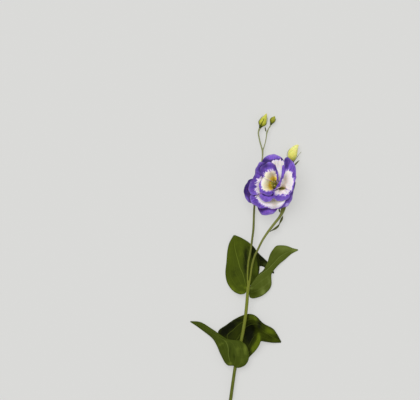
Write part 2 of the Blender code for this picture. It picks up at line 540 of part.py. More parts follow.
def add_bud(name, bud, parts, cutters, materials, plant):
    """A closed corolla and its calyx: a cup under it and slender sepals up its sides."""
    corolla = bud["corolla"]
    line = smooth_line(corolla, 9)
    add_object(name, tube_mesh(name, line), parts, materials["bud"], plant)
    axis = bud_axis(corolla)
    foot = Vector(corolla[0][:3]) - axis * SEAT_GAP
    lip = corolla[0][3] + CALYX_FLARE
    cup = [(*(foot - axis * CALYX_DEPTH), bud["pedicel_radius"]), (*foot, lip)]
    meshes = [tube_mesh(name + "_cup", cup)]
    sideways = axis.cross(Vector((0, 0, 1))).normalized()
    upwards = sideways.cross(axis)
    for number, (degrees, lean, length) in enumerate(bud["sepals"]):
        angle = math.radians(degrees)
        out = sideways * math.cos(angle) + upwards * math.sin(angle)
        root = foot - axis * 0.5 * CALYX_DEPTH + out * corolla[0][3] * 0.5
        sepal = [(*root, SEPAL_RADIUS)]
        for share in SEPAL_SHARES:
            middle, bud_radius = row_at(line, share * length)
            x, y, z = middle + out * (bud_radius + SEPAL_CLEARANCE + lean * share**2)
            radius = SEPAL_RADIUS * (1 - SEPAL_TAPER * share)
            sepal.append((x, y, max(z, SEPAL_RADIUS + 0.05), radius))
        meshes.append(tube_mesh(f"{name}_sepal_{number}", sepal, sides=6))
    add_joined(name + "_calyx", meshes, parts, cutters, materials["calyx"], plant)


def main():
    clear_scene()
    parts = new_collection("lisianthus")
    cutters = new_collection("cutters")
    materials = make_materials()
    plant = bpy.data.objects.new("plant", None)
    plant.location = (-PLANT_CENTRE[0] * MM, -PLANT_CENTRE[1] * MM, 0)
    parts.objects.link(plant)
    add_stem(parts, cutters, materials["stem"], plant)
    add_leaves(parts, materials["leaf"], plant)
    add_bloom_calyx(parts, cutters, materials["calyx"], plant)
    add_petals(parts, materials["petal"], plant)
    add_throat(parts, materials, plant)
    for name, bud in BUDS.items():
        add_bud(name, bud, parts, cutters, materials, plant)


main()
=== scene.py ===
import math

import bmesh
import bpy
import numpy as np
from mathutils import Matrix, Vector


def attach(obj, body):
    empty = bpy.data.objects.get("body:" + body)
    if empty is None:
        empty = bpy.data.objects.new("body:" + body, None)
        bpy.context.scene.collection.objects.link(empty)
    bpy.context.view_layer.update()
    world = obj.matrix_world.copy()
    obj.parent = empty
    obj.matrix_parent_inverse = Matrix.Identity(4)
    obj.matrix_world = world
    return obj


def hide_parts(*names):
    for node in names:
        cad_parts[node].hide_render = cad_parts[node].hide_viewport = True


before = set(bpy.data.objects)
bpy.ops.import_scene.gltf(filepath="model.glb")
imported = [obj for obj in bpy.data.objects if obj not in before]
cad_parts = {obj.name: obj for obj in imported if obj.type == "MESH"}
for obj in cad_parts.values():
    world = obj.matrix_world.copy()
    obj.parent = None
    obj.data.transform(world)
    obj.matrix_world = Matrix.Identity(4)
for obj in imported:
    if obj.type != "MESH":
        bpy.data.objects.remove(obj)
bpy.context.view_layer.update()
print("frame loaded: %d nodes" % len(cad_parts))

mm = 0.001
plantCentre = np.array((2.0, -0.2, 0))   # middle of the stem's box in the tables below, which are in mm


def smoothLine(points, count):
    # a smooth curve through given points, as count evenly spaced rows of numbers
    points = np.array(points, float)
    steps = np.linalg.norm(np.diff(points[:, :3], axis=0), axis=1)
    knots = np.concatenate([[0], np.cumsum(np.sqrt(steps))])
    slopes = np.gradient(points, knots, axis=0)
    fine = np.linspace(0, knots[-1], count * 12)
    span = np.clip(np.searchsorted(knots, fine, side="right") - 1, 0, len(knots) - 2)
    width = (knots[span + 1] - knots[span])[:, None]
    t = (fine - knots[span])[:, None] / width
    curve = ((2 * t**3 - 3 * t**2 + 1) * points[span] + (t**3 - 2 * t**2 + t) * width * slopes[span]
             + (3 * t**2 - 2 * t**3) * points[span + 1] + (t**3 - t**2) * width * slopes[span + 1])
    walked = np.concatenate([[0], np.cumsum(np.linalg.norm(np.diff(curve[:, :3], axis=0), axis=1))])
    wanted = np.linspace(0, walked[-1], count)
    return np.stack([np.interp(wanted, walked, column) for column in curve.T], axis=1)


def readAt(line, row):
    # a line's numbers at a place between its rows
    return np.array([np.interp(row, range(len(line)), column) for column in line.T])


def unit(vectors):
    return vectors / np.linalg.norm(vectors, axis=-1, keepdims=True)


def heading(degrees):
    return np.array((math.cos(math.radians(degrees)), math.sin(math.radians(degrees)), 0))


def smoothStep(value, low, high):
    t = np.clip((value - low) / (high - low), 0, 1)
    return t * t * (3 - 2 * t)


def spotted(points, spots):
    # soft spots of x, y, half width, half height, amount, read at each point
    total = np.zeros(points.shape[:2])
    for x, y, wide, tall, amount in spots:
        total += amount * np.exp(-((points[..., 0] - x) / wide) ** 2 - ((points[..., 1] - y) / tall) ** 2)
    return total


def wave(share, turns, seed):
    # three sines of nearly the same length, so that no ruffle repeats exactly; -1 to 1
    total = 0
    for k in range(3):
        total = total + np.sin(2 * math.pi * (turns * (0.8 + 0.27 * k) * share + seed * (0.37 + 0.21 * k)))
    return total / 3


def addObject(name, data):
    made = bpy.data.objects.new(name, data)
    bpy.context.scene.collection.objects.link(made)
    return made


def addPiece(node, mesh, finishes, slot):
    mesh.materials.clear()
    for finish in finishes:
        mesh.materials.append(finish.material)
    piece = addObject(node + "_skin", mesh)
    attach(piece, "root")
    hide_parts(node)
    return piece


def meshFrom(shape, name):
    mesh = bpy.data.meshes.new(name)
    shape.to_mesh(mesh)
    shape.free()
    mesh.shade_smooth()
    return mesh


def baked(data, *modifiers):
    # a curve or mesh with the work of each modifier done on it, as a mesh
    guide = addObject("guide", data)
    for kind, settings in modifiers:
        modifier = guide.modifiers.new("work", kind)
        for key, value in settings.items():
            setattr(modifier, key, value)
    mesh = bpy.data.meshes.new_from_object(guide.evaluated_get(bpy.context.evaluated_depsgraph_get()))
    bpy.data.objects.remove(guide)
    mesh.shade_smooth()
    return mesh


def sheetMesh(name, rows, marks):
    # an open sheet, upper side up: a grid whose points go to rows[i][j], with the marks' numbers on them
    along, across = rows.shape[:2]
    shape = bmesh.new()
    shape.loops.layers.uv.new("weave")
    layers = {key: shape.verts.layers.float.new(key) for key in marks}
    bmesh.ops.create_grid(shape, x_segments=along - 1, y_segments=across - 1, size=1, calc_uvs=True)
    for vertex in shape.verts:
        i = round((vertex.co.x + 1) / 2 * (along - 1))
        j = round((vertex.co.y + 1) / 2 * (across - 1))
        vertex.co = Vector((rows[i, j] - plantCentre) * mm)
        for key, layer in layers.items():
            vertex[layer] = float(marks[key][i, j])
    shape.normal_update()
    if sum(face.normal.z * face.calc_area() for face in shape.faces) < 0:
        bmesh.ops.reverse_faces(shape, faces=shape.faces)
    return meshFrom(shape, name)


def addSheet(node, rows, marks, thickness, finishes, slot):
    piece = addPiece(node, sheetMesh(node, rows, marks), finishes, slot)
    wall = piece.modifiers.new("thickness", "SOLIDIFY")
    wall.thickness = thickness * mm
    wall.offset = -1
    wall.use_quality_normals = True
    wall.material_offset = len(finishes) - 1


def tubeMesh(name, lines, sides, voxel=0):
    # round limbs through rows of x, y, z, radius; with a voxel size they are grown into one skin
    curve = bpy.data.curves.new(name, "CURVE")
    curve.dimensions = "3D"
    curve.bevel_depth = mm
    curve.bevel_resolution = (sides - 4) // 2
    curve.use_fill_caps = True
    for line in lines:
        spline = curve.splines.new("POLY")
        spline.points.add(len(line) - 1)
        for point, (*place, radius) in zip(spline.points, line):
            point.co = (*((np.array(place) - plantCentre) * mm), 1)
            point.radius = radius
    shape = bmesh.new()
    shape.from_mesh(baked(curve))
    bmesh.ops.remove_doubles(shape, verts=shape.verts, dist=0.01 * mm)
    bmesh.ops.recalc_face_normals(shape, faces=shape.faces)
    mesh = meshFrom(shape, name)
    if voxel:
        mesh = baked(mesh, ("REMESH", dict(mode="VOXEL", voxel_size=voxel * mm)),
                     ("SMOOTH", dict(factor=0.5, iterations=4)))
    return mesh


def joined(name, parts):
    # one mesh from several, each with its own finish
    pieces = []
    for mesh, finish in parts:
        mesh.materials.clear()
        mesh.materials.append(finish.material)
        pieces.append(addObject(name, mesh))
    with bpy.context.temp_override(active_object=pieces[0], object=pieces[0], selected_objects=pieces,
                                   selected_editable_objects=pieces):
        bpy.ops.object.join()
    mesh = pieces[0].data
    bpy.data.objects.remove(pieces[0])
    return mesh


def paint(red, green, blue):
    # a colour as it looks on a screen, 0 to 255, as the linear values that a shader takes
    return tuple(((v / 255 + 0.055) / 1.055) ** 2.4 for v in (red, green, blue)) + (1,)


class Wire:
    # one output of a shader node, so that sums on values can be written as sums
    def __init__(self, finish, socket):
        self.finish = finish
        self.socket = socket

    def __add__(self, other):
        return self.finish.maths("ADD", self, other)

    def __sub__(self, other):
        return self.finish.maths("SUBTRACT", self, other)

    def __rsub__(self, other):
        return self.finish.maths("SUBTRACT", other, self)

    def __mul__(self, other):
        return self.finish.maths("MULTIPLY", self, other)

    __radd__ = __add__


class Finish:
    def __init__(self, name, **constants):
        self.material = bpy.data.materials.new(name)
        self.material.use_nodes = True
        self.tree = self.material.node_tree
        self.shader = self.tree.nodes["Principled BSDF"]
        for key, value in constants.items():
            self.shader.inputs[key.replace("_", " ")].default_value = value

    def node(self, kind, settings=None, sockets=None, out=0):
        made = self.tree.nodes.new(kind)
        for key, value in (settings or {}).items():
            setattr(made, key, value)
        for key, value in (sockets or {}).items():
            if isinstance(value, Wire):
                self.tree.links.new(value.socket, made.inputs[key])
            else:
                made.inputs[key].default_value = value
        return Wire(self, made.outputs[out])

    def maths(self, operation, *values):
        return self.node("ShaderNodeMath", {"operation": operation}, dict(enumerate(values)))

    def step(self, value, low, high):
        return self.node("ShaderNodeMapRange", {"interpolation_type": "SMOOTHSTEP"},
                         {"Value": value, "From Min": low, "From Max": high})

    def mix(self, share, *colours):
        # two colours, each a wire or its red, green and blue
        first, second = (value if isinstance(value, Wire) else paint(*value) for value in colours)
        return self.node("ShaderNodeMix", {"data_type": "RGBA"}, {0: share, 6: first, 7: second}, out=2)

    def layered(self, colour, *layers):
        # a colour with others laid over it, each with its share
        for share, over in layers:
            colour = self.mix(share, colour, over)
        return colour

    def scaled(self, vector, x, y, z):
        return self.node("ShaderNodeVectorMath", {"operation": "MULTIPLY"}, {0: vector, 1: (x, y, z)})

    def noise(self, vector, scale, detail=2, rough=0.5):
        return self.node("ShaderNodeTexNoise", {},
                         {"Vector": vector, "Scale": scale, "Detail": detail, "Roughness": rough})

    def place(self, axis=None):
        place = self.node("ShaderNodeTexCoord", out=3)
        return place if axis is None else self.node("ShaderNodeSeparateXYZ", {}, {0: place}, axis)

    def weave(self, x, y):
        return self.scaled(self.node("ShaderNodeTexCoord", out=2), x, y, 0)

    def mark(self, name):
        return self.node("ShaderNodeAttribute", {"attribute_name": name}, out=2)

    def feed(self, **sockets):
        for key, value in sockets.items():
            self.tree.links.new(value.socket, self.shader.inputs[key.replace("_", " ")])

    def relief(self, height, depth, strength=0.5):
        sockets = {"Height": height, "Distance": depth * mm, "Strength": strength}
        self.feed(Normal=self.node("ShaderNodeBump", {}, sockets))


bloom = {
    "middle": (40.9, 104.4),     # of the bloom's foot, seen from above
    "seatHeight": 11.7,          # top of the calyx cup
    "seatRadius": 7.5,
    "sideBand": 0.45,            # violet along a petal's sides, as a share of that at its corners
    "sideGrowth": 1.5,           # how late it widens on the way to them
    "cornerTurn": 7,             # how near its corners an edge begins to turn in
    "rise": 0.86,                # of the heights in the table of petals
    "roll": 0.55,                # drop of a rolled margin for each mm of its width
    "leastWall": 0.5,            # share of a petal's reach that stays below its crest
    "thickness": 0.5,            # of a petal as it is laid on the others
    "gap": 0.3,
    "skin": 0.3,                 # of a petal as it shows
    "ruffledGap": 0.15,
    "overlap": 0.05,             # cut into a petal underneath that is let be
    "cell": 0.5,
    "reach": 50,                 # half the side of the net that petals are laid on
    "empty": -100.0,             # height of the net where nothing lies
    "turns": 12,                 # directions and distances in which a petal looks for others over it
    "looks": (1.5, 2.5, 4, 6, 9),
    "unseen": 0.5,               # height by which they may stand over it and take no light
    "manyPoints": 9,             # on an edge; a petal with more is wide
    "laidColumns": (9, 13),      # of a narrow and a wide petal as it is laid
    "laidRows": 8,
    "columns": (65, 97),         # and as it shows
    "rows": 49,
    "rowSpread": 1.2,            # 1 for even rows, more for rows that lie closer at the foot
    "liftRounds": (12, 6),       # rounds that even out how far a petal was lifted, before and after sampling
}

# What a petal is unless its own row says otherwise
plainPetal = {
    "footWidth": 3.5,
    "corner": 0.12,              # share of its reach that it loses at its corners
    "power": 1.3,                # of the climb: how fast its wall flattens towards the crest
    "warm": 0,                   # 0 for white, 1 for cream
    "fade": 1,                   # how fast the yellow at its foot ends
    "ruffle": 1,                 # share of the waves below
    "fringe": 0,                 # depth of the notches in its edge
    "shade": (),                 # spots of painted shade in its violet; where the amount is below 0 they paint light
    "paintedShadeOnWhite": (),                 # spots of painted shade in its white
}

ruffle = {
    "begins": 0.5,               # share of the way from foot to edge
    "swell": (1.5, 2.6),         # height in mm and number of the long waves
    "frill": (0.4, 8.0),         # and of the short ones at the very edge
    "frillBegins": 0.82,
    "sway": (0.7, 4.5),          # of the edge in plan
    "notches": 6,                # number in a fringed edge
    "notchesBegin": 0.85,
}

# Outermost first, round the bloom's middle: foot; fullness, 1 for straight sides and less for round ones;
# spots as x, y, half width, half height, amount; then the edge's line as x, y, height of the crest over
# the seat, width of the margin rolled out beyond the crest, width of the violet band
petals = {
    "guard_petal_front": dict(
        foot=(-1, -5), fullness=0.55, ruffle=0.3,
        shade=[(-20, -27, 6, 5, 0.4), (-7, -31.5, 6, 3, -0.35)],
        crest=[(-27, -22, 15, 4, 10), (-23, -29.5, 14, 6, 12), (-18.6, -35, 13, 7, 14),
            (-11, -35, 13, 7, 14), (-5, -33.4, 13, 7, 14), (-0.8, -30, 14, 6, 12), (2, -26, 16, 4, 10)]),
    "guard_petal_right": dict(
        foot=(5.5, 1), fullness=0.55,
        shade=[(20, 10, 8, 14, 0.1)],
        crest=[(19, 26, 20, 4, 6), (23.2, 20, 19, 6, 8), (23.2, 9, 18, 7, 9), (21.5, -2, 18, 6, 9),
            (18.5, -10, 19, 4, 7)]),
    "guard_petal_back": dict(
        foot=(0.6, 7.2), fullness=0.55,
        crest=[(-26, 20, 19, 4, 8), (-22.5, 27, 18, 6, 10), (-17, 34, 17, 7, 11), (-5, 36, 18, 6, 10),
            (5, 33, 20, 4, 8)]),
    "guard_petal_left": dict(
        foot=(-6, -1), fullness=0.55,
        shade=[(-39, 0, 6, 9, 0.7), (-37, -15, 5, 4, -0.08)],
        crest=[(-28, 13, 17, 3, 9), (-34, 9.5, 16, 5, 10), (-38.5, 4.5, 15, 6, 10), (-41.3, -2, 14, 7, 11),
            (-41, -9.5, 14, 7, 11), (-38, -16.5, 14, 7, 11), (-32, -20.5, 15, 6, 10),
            (-25, -22, 16, 4, 8)]),
    "side_petal": dict(
        foot=(4.5, -4), fullness=0.6,
        shade=[(12.5, -22.5, 4.5, 3.5, -0.8), (18, -14, 3, 5, -0.3)],
        crest=[(21.5, 12, 24, 3, 6), (21.5, 1, 23, 5, 9), (19.5, -9, 22, 6, 9), (18.5, -16, 21, 7, 9),
            (14.5, -22, 20, 8, 9), (8.5, -26, 19, 8, 9), (1, -27.5, 19, 6, 8), (-4, -27, 20, 3, 6)]),
    "arch_petal": dict(
        foot=(-1, 6), fullness=0.7, power=1.15, ruffle=0.25,
        shade=[(-3, 38, 8, 4, -0.35), (-15, 34, 5, 5, 0.18), (-16, 30, 4, 3, 0.2)],
        crest=[(-20, 26.5, 25, 3, 12), (-19.3, 32, 24, 6, 15), (-15.5, 37, 23, 8, 17), (-10, 40, 23, 9, 16),
            (-4, 40.8, 23, 9, 14), (1, 39.3, 24, 8, 12), (5.5, 36.5, 25, 6, 9), (9, 32, 26, 4, 7),
            (10.5, 28, 27, 3, 6)]),
    "crescent_petal": dict(
        foot=(-2.5, -5.5), fullness=0.7,
        paintedShadeOnWhite=[(-3, -21, 4, 5, 0.8)],
        crest=[(-33, -6, 24, 3, 7), (-35, -12, 23, 6, 9), (-33, -18.5, 22, 8, 8.5),
            (-28.5, -22.8, 21, 9, 7), (-23, -26.3, 20, 8, 6), (-16.5, -26.5, 20, 6, 3),
            (-11, -27.3, 20, 5, 1.2), (-5, -28, 20, 5, 0.8), (1, -27, 20, 5, 0.8), (6, -24.5, 21, 4, 1.5),
            (11, -20.5, 22, 4, 2.2), (14, -14, 24, 3, 2)]),
    "left_petal": dict(
        foot=(-7, 0.5), fullness=0.8,
        shade=[(-31, 8, 7, 8, 0.22), (-31, -4, 6, 6, 0.15), (-22, 15, 4, 5, -0.3), (-24, 24, 6, 5, 0.1)],
        crest=[(-16.5, 34, 26, 4, 15), (-21.5, 31.5, 27, 7, 16), (-25, 27.5, 27, 8, 15),
            (-27, 21.5, 27, 9, 12.5), (-28.5, 15, 26, 9, 8), (-30.5, 11, 26, 9, 5.5),
            (-32.5, 8, 25, 9, 6.8), (-35.5, 1, 25, 9, 9), (-36, -4, 25, 8, 9.3), (-33.5, -9, 26, 6, 8.4),
            (-29, -11.5, 28, 3, 6)]),
    "trough_petal": dict(
        foot=(1.7, 3), fullness=1, power=5, footWidth=3, corner=0, fade=6, warm=0.2, fringe=1.5,
        paintedShadeOnWhite=[(2, 30, 9, 9, 0.4)],
        crest=[(-8.5, 31, 29, 2, 0.5), (-6.5, 33.8, 29, 3, 0.4), (-3, 35, 30, 3, 0.4),
            (1.5, 35, 30, 3, 0.4), (5, 35, 30, 3, 0.4), (8, 33.5, 30, 3, 0.4), (9.6, 31, 30, 3, 0.5),
            (10.6, 28, 30, 2, 0.6)]),
    "lower_lip_petal": dict(
        foot=(-5.5, -2.5), fullness=1, ruffle=0.4,
        shade=[(-13, -15, 5, 3, -0.15)],
        crest=[(-23, -9, 33, 2, 5), (-22.5, -12.5, 32, 4, 9), (-19, -16.5, 31, 6, 12),
            (-14, -19, 30, 7, 14), (-9, -17.5, 31, 6, 14), (-6, -15, 32, 4, 12), (-5, -11, 34, 2, 8)]),
    "throat_petal_lower": dict(
        foot=(-5.2, 0.8), fullness=1, power=2.2, footWidth=7, warm=1, corner=0, fade=0.72,
        crest=[(-12.5, 17.5, 33, 1.5, 0), (-18, 11, 34, 2, 0), (-21.5, 6.5, 34, 2.5, 1),
            (-23, 1.5, 34, 2.5, 2.8), (-22.5, -4, 34, 3, 3.4), (-19.5, -8, 34, 5, 5.6),
            (-14, -10.5, 34, 6, 8), (-9, -10.8, 34, 6, 8.2), (-6, -8.5, 33, 3, 5.5),
            (-4.5, -5.5, 31, 1.5, 1.5)]),
    "throat_petal_upper": dict(
        foot=(-4.4, 7.6), fullness=1, power=1.9, footWidth=8, warm=1, corner=0.06, fade=0.85,
        shade=[(-12, 26, 7, 4, 0.3), (-19, 20, 5, 6, 0.3), (-1, 19, 3, 8, 0.2)],
        paintedShadeOnWhite=[(-9, 15, 4, 4, 0.5), (-4, 16, 3, 3, 0.5)],
        crest=[(-18.5, 11.5, 36, 3, 0), (-21.3, 15.5, 36, 5, 4.5), (-22.3, 20.5, 37, 7, 7),
            (-20, 24.8, 37, 8, 7.5), (-16, 28.5, 38, 9, 9.5), (-11, 30.5, 38, 9, 10.4),
            (-6.5, 30, 37, 8, 9), (-3, 27.5, 35, 6, 7.5), (-1, 23, 33, 4, 6.5), (0.8, 16, 30, 3.5, 4.5),
            (1.2, 10, 28, 2.5, 3), (1.8, 5.5, 27, 1.5, 1.5)]),
    "right_petal": dict(
        foot=(7.5, -1.2), fullness=1, power=2.6, footWidth=7, warm=0.3, corner=0, fade=4.5,
        shade=[(11, 32, 5, 7, 0.38), (11.5, 25, 3, 4, 0.25), (19, 24, 3, 6, -0.12)],
        paintedShadeOnWhite=[(10.5, 9, 2.6, 9, 0.9), (8, 2, 2, 3, 0.6)],
        crest=[(-6.5, -5.5, 27, 1.5, 1.8), (-0.7, 0.8, 27, 2, 2.8), (2.6, 5.6, 28, 2, 3.6),
            (3.8, 11, 29, 3, 5.5), (4.9, 17, 31, 4, 10), (5.5, 22, 32, 4, 13), (6, 26, 33, 4, 15),
            (9.3, 28.2, 33, 6, 17), (8.4, 32.5, 32.5, 8, 18), (9.3, 35.4, 32.5, 9, 19),
            (12.6, 37.2, 32, 10, 18), (17, 34, 31, 12, 12.7), (21.5, 28, 30, 10, 10.5),
            (23.2, 21, 30, 7, 7.6), (22.6, 10, 30, 2.5, 3.6), (20, -2, 30, 2, 1.7),
            (16.5, -9.5, 31, 2, 1.2)]),
    "front_petal": dict(
        foot=(5.5, -2.9), fullness=1, power=2.2, footWidth=9, warm=0.3, corner=0.06, fade=6,
        shade=[(3, -14, 6, 3, -0.12)],
        crest=[(17, -4, 30, 2, 0.8), (16.5, -9, 30, 4, 2.4), (14, -14.5, 29, 6, 5), (9, -17, 29, 6.5, 7.2),
            (2.5, -17.5, 29, 6.5, 7.5), (-3, -16, 29, 6, 7.1), (-5.5, -12, 30, 4, 3.4),
            (-5, -6, 31, 2, 1)]),
}


def petalRows(petal, columns, rows):
    # rows from foot to edge: a funnel wall up to the crest, then a rolled margin
    line = smoothLine(petal["crest"], columns)
    foot = np.array(petal["foot"], float)
    tip = line[columns // 2, :2]
    side = np.array([tip[1] - foot[1], foot[0] - tip[0]]) / np.linalg.norm(tip - foot)
    side *= np.sign(np.dot(line[0, :2] - line[-1, :2], side))
    points = np.zeros((columns, rows, 3))
    marks = {key: np.zeros((columns, rows)) for key in ("fromFoot", "toEdge", "inside", "band")}
    marks["warm"] = np.full((columns, rows), float(petal["warm"]))
    share = np.linspace(0, 1, rows) ** bloom["rowSpread"]
    for column, (x, y, height, roll, violet) in enumerate(line):
        fromMiddle = 2 * column / (columns - 1) - 1
        shift = -0.5 * fromMiddle * petal["footWidth"] * side
        edge = np.array([x, y])
        edge = edge + (foot + shift - edge) * petal["corner"] * abs(fromMiddle) ** bloom["cornerTurn"]
        reach = np.linalg.norm(edge - foot - shift)
        lip = max(1 - roll / reach, bloom["leastWall"])
        across = shift + (edge - tip - shift) * (share ** petal["fullness"])[:, None]
        points[column, :, :2] = foot + (tip - foot) * share[:, None] + across
        climb = 1 - (1 - np.minimum(share / lip, 1)) ** petal["power"]
        drop = np.maximum(share - lip, 0) * reach / roll
        points[column, :, 2] = bloom["rise"] * height * climb - bloom["roll"] * roll * drop**2
        marks["fromFoot"][column] = share * math.hypot(reach, height) * petal["fade"]
        marks["toEdge"][column] = (1 - share) * reach
        marks["inside"][column] = (1 - share) * reach - violet
        marks["band"][column] = violet
    for end in (0, -1):
        fromSide = np.linalg.norm(points[..., :2] - points[end, :, :2], axis=2)
        band = line[end, 4] * bloom["sideBand"] * share ** bloom["sideGrowth"]
        marks["inside"] = np.minimum(marks["inside"], fromSide - band)
        marks["toEdge"] = np.minimum(marks["toEdge"], fromSide)
    points[..., :2] += bloom["middle"]
    points[..., 2] += bloom["seatHeight"] + bloom["gap"] + bloom["thickness"]
    return points, marks


def finer(points, times):
    # the same net of points or numbers with its cells divided
    for axis in (0, 1):
        count = points.shape[axis]
        wanted = np.linspace(0, count - 1, (count - 1) * times + 1)
        low = np.minimum(wanted.astype(int), count - 2)
        part = (wanted - low).reshape((-1, 1, 1) if axis == 0 else (1, -1, 1))
        points = np.take(points, low, axis) * (1 - part) + np.take(points, low + 1, axis) * part
    return points


def sampled(values, columns, rows):
    # a net of numbers read at a coarser net's places
    wantedColumns, wantedRows = (np.linspace(0, values.shape[axis] - 1, count).round().astype(int)
                                 for axis, count in enumerate((columns, rows)))
    return values[wantedColumns][:, wantedRows]


def softer(values, rounds):
    # a net of numbers with each evened out with its neighbours
    for _ in range(rounds):
        padded = np.pad(values, 1, mode="edge")
        values = (padded[:-2, 1:-1] + padded[2:, 1:-1] + padded[1:-1, :-2] + padded[1:-1, 2:]
                  + 2 * values) / 6
    return values


def roundedOver(points, rounds=5):
    # the turn at the crest eased along each line from foot to edge
    for _ in range(rounds):
        inner = (points[:, :-2, 2] + points[:, 2:, 2]) / 4 + points[:, 1:-1, 2] / 2
        points[:, 1:-1, 2] = inner
    return points


class Pile:
    # height of the petals laid so far, over a square net round the bloom's middle
    def __init__(self):
        self.size = int(2 * bloom["reach"] / bloom["cell"]) + 1
        place = (np.arange(self.size) * bloom["cell"]) - bloom["reach"]
        radius = np.hypot(place[:, None], place[None, :])
        self.top = np.where(radius < bloom["seatRadius"], bloom["seatHeight"], bloom["empty"])

    def cells(self, points):
        place = (points[..., :2] - bloom["middle"] + bloom["reach"]) / bloom["cell"]
        place = np.clip(np.rint(place).astype(int), 0, self.size - 1)
        return place[..., 0], place[..., 1]

    def floor(self, clearance):
        grown = self.top.copy()
        for dx in (-1, 0, 1):
            for dy in (-1, 0, 1):
                grown = np.maximum(grown, np.roll(self.top, (dx, dy), (0, 1)))
        return grown + clearance

    def add(self, points, times):
        fine = finer(points, times)
        np.maximum.at(self.top, self.cells(fine), fine[..., 2])

    def lay(self, points, times=8, rounds=30):
        # a coarse sheet raised point by point until it clears the pile, then let down on it
        floor = self.floor(bloom["thickness"] + bloom["gap"])
        for _ in range(rounds):
            fine = finer(points, times)
            short = np.maximum(floor[self.cells(fine)] - fine[..., 2], 0)
            for i in range(points.shape[0]):
                for j in range(points.shape[1]):
                    near = short[max(0, (i - 1) * times + 1):(i + 1) * times,
                                 max(0, (j - 1) * times + 1):(j + 1) * times]
                    points[i, j, 2] += 0.5 * near.max()
        fine = finer(points, times)
        points[..., 2] -= (fine[..., 2] - floor[self.cells(fine)]).min()
        self.add(points, times)
        return points

    def settle(self, points, times=3, rounds=8):
        # a ruffled fine sheet eased up wherever it would cut into the petals under it
        floor = self.floor(bloom["skin"] + bloom["ruffledGap"])
        for _ in range(rounds):
            fine = finer(points, times)
            short = np.maximum(floor[self.cells(fine)] - fine[..., 2], 0)
            near = short[::times, ::times]
            for dx in range(-times + 1, times):
                for dy in range(-times + 1, times):
                    near = np.maximum(near, np.roll(short, (dx, dy), (0, 1))[::times, ::times])
            if near.max() < bloom["overlap"]:
                break
            points[..., 2] += np.maximum(softer(near, 3), 0.6 * near)
        self.add(points, times)
        return points

    def hollow(self, points):
        # how much of the sky the petals round each point take away, 0 to 1
        ix, iy = self.cells(points)
        hidden = np.zeros(points.shape[:2])
        for turn in range(bloom["turns"]):
            angle = 2 * math.pi * turn / bloom["turns"]
            steepest = np.zeros(points.shape[:2])
            for reach in bloom["looks"]:
                jx = np.clip(ix + round(math.cos(angle) * reach / bloom["cell"]), 0, self.size - 1)
                jy = np.clip(iy + round(math.sin(angle) * reach / bloom["cell"]), 0, self.size - 1)
                over = self.top[jx, jy] - points[..., 2] - bloom["unseen"]
                steepest = np.maximum(steepest, over / reach)
            hidden += steepest**2 / (1 + steepest**2) / bloom["turns"]
        return softer(hidden, 4)


def ruffled(points, petal, seed):
    columns, rows = points.shape[:2]
    across = np.linspace(0, 1, columns)[:, None] + np.zeros((1, rows))
    out = np.linspace(0, 1, rows)[None, :] + np.zeros((columns, 1))
    swell = petal["ruffle"] * smoothStep(out, ruffle["begins"], 1)
    frill = smoothStep(out, ruffle["frillBegins"], 1)
    fringe = petal["fringe"] * smoothStep(out, ruffle["notchesBegin"], 1)
    waves = {key: ruffle[key][0] * wave(across, ruffle[key][1], seed + late)
             for key, late in (("swell", 0), ("frill", 0.5), ("sway", 0.2))}
    points = points.copy()
    points[..., 2] += swell * waves["swell"] + frill * waves["frill"]
    away = points[..., :2] - (np.array(bloom["middle"]) + petal["foot"])
    away /= np.linalg.norm(away, axis=2)[..., None] + 0.001
    notches = wave(across, ruffle["notches"], seed + 0.7) - 0.7
    sway = swell * waves["sway"] + fringe * notches
    points[..., :2] += away * sway[..., None]
    return points


petalPaint = {
    "violet": (90, 60, 160),
    "violetStreak": (132, 98, 208),
    # rim: painted highlight along the lit rolled margin, with the petal's own paler edge
    "rim": (160, 136, 222),
    "shaded": (52, 30, 104),
    "lit": (180, 160, 230),
    "pale": ((240, 230, 238), (250, 243, 226)),     # each of these on a white and on a cream petal
    "deep": ((220, 212, 194), (246, 234, 190)),
    "gold": ((134, 132, 12), (236, 206, 52)),
    "streak": (196, 184, 150),
    # painted shade laid on a petal's white at its spots
    "paintedShadeOnWhite": (190, 176, 158),
    "blush": (222, 200, 240),                       # next to the violet
    "fleck": (150, 122, 214),
    "backFoot": (188, 190, 110),
    "back": (236, 228, 226),
    "backViolet": ((112, 84, 178), (150, 124, 210)),
    "grain": (46, 3.5),                             # streaks across a petal and along it
    "teeth": (24, 5),
    "teethDepth": 4.2,                              # of the ragged line between white and violet, in mm
}


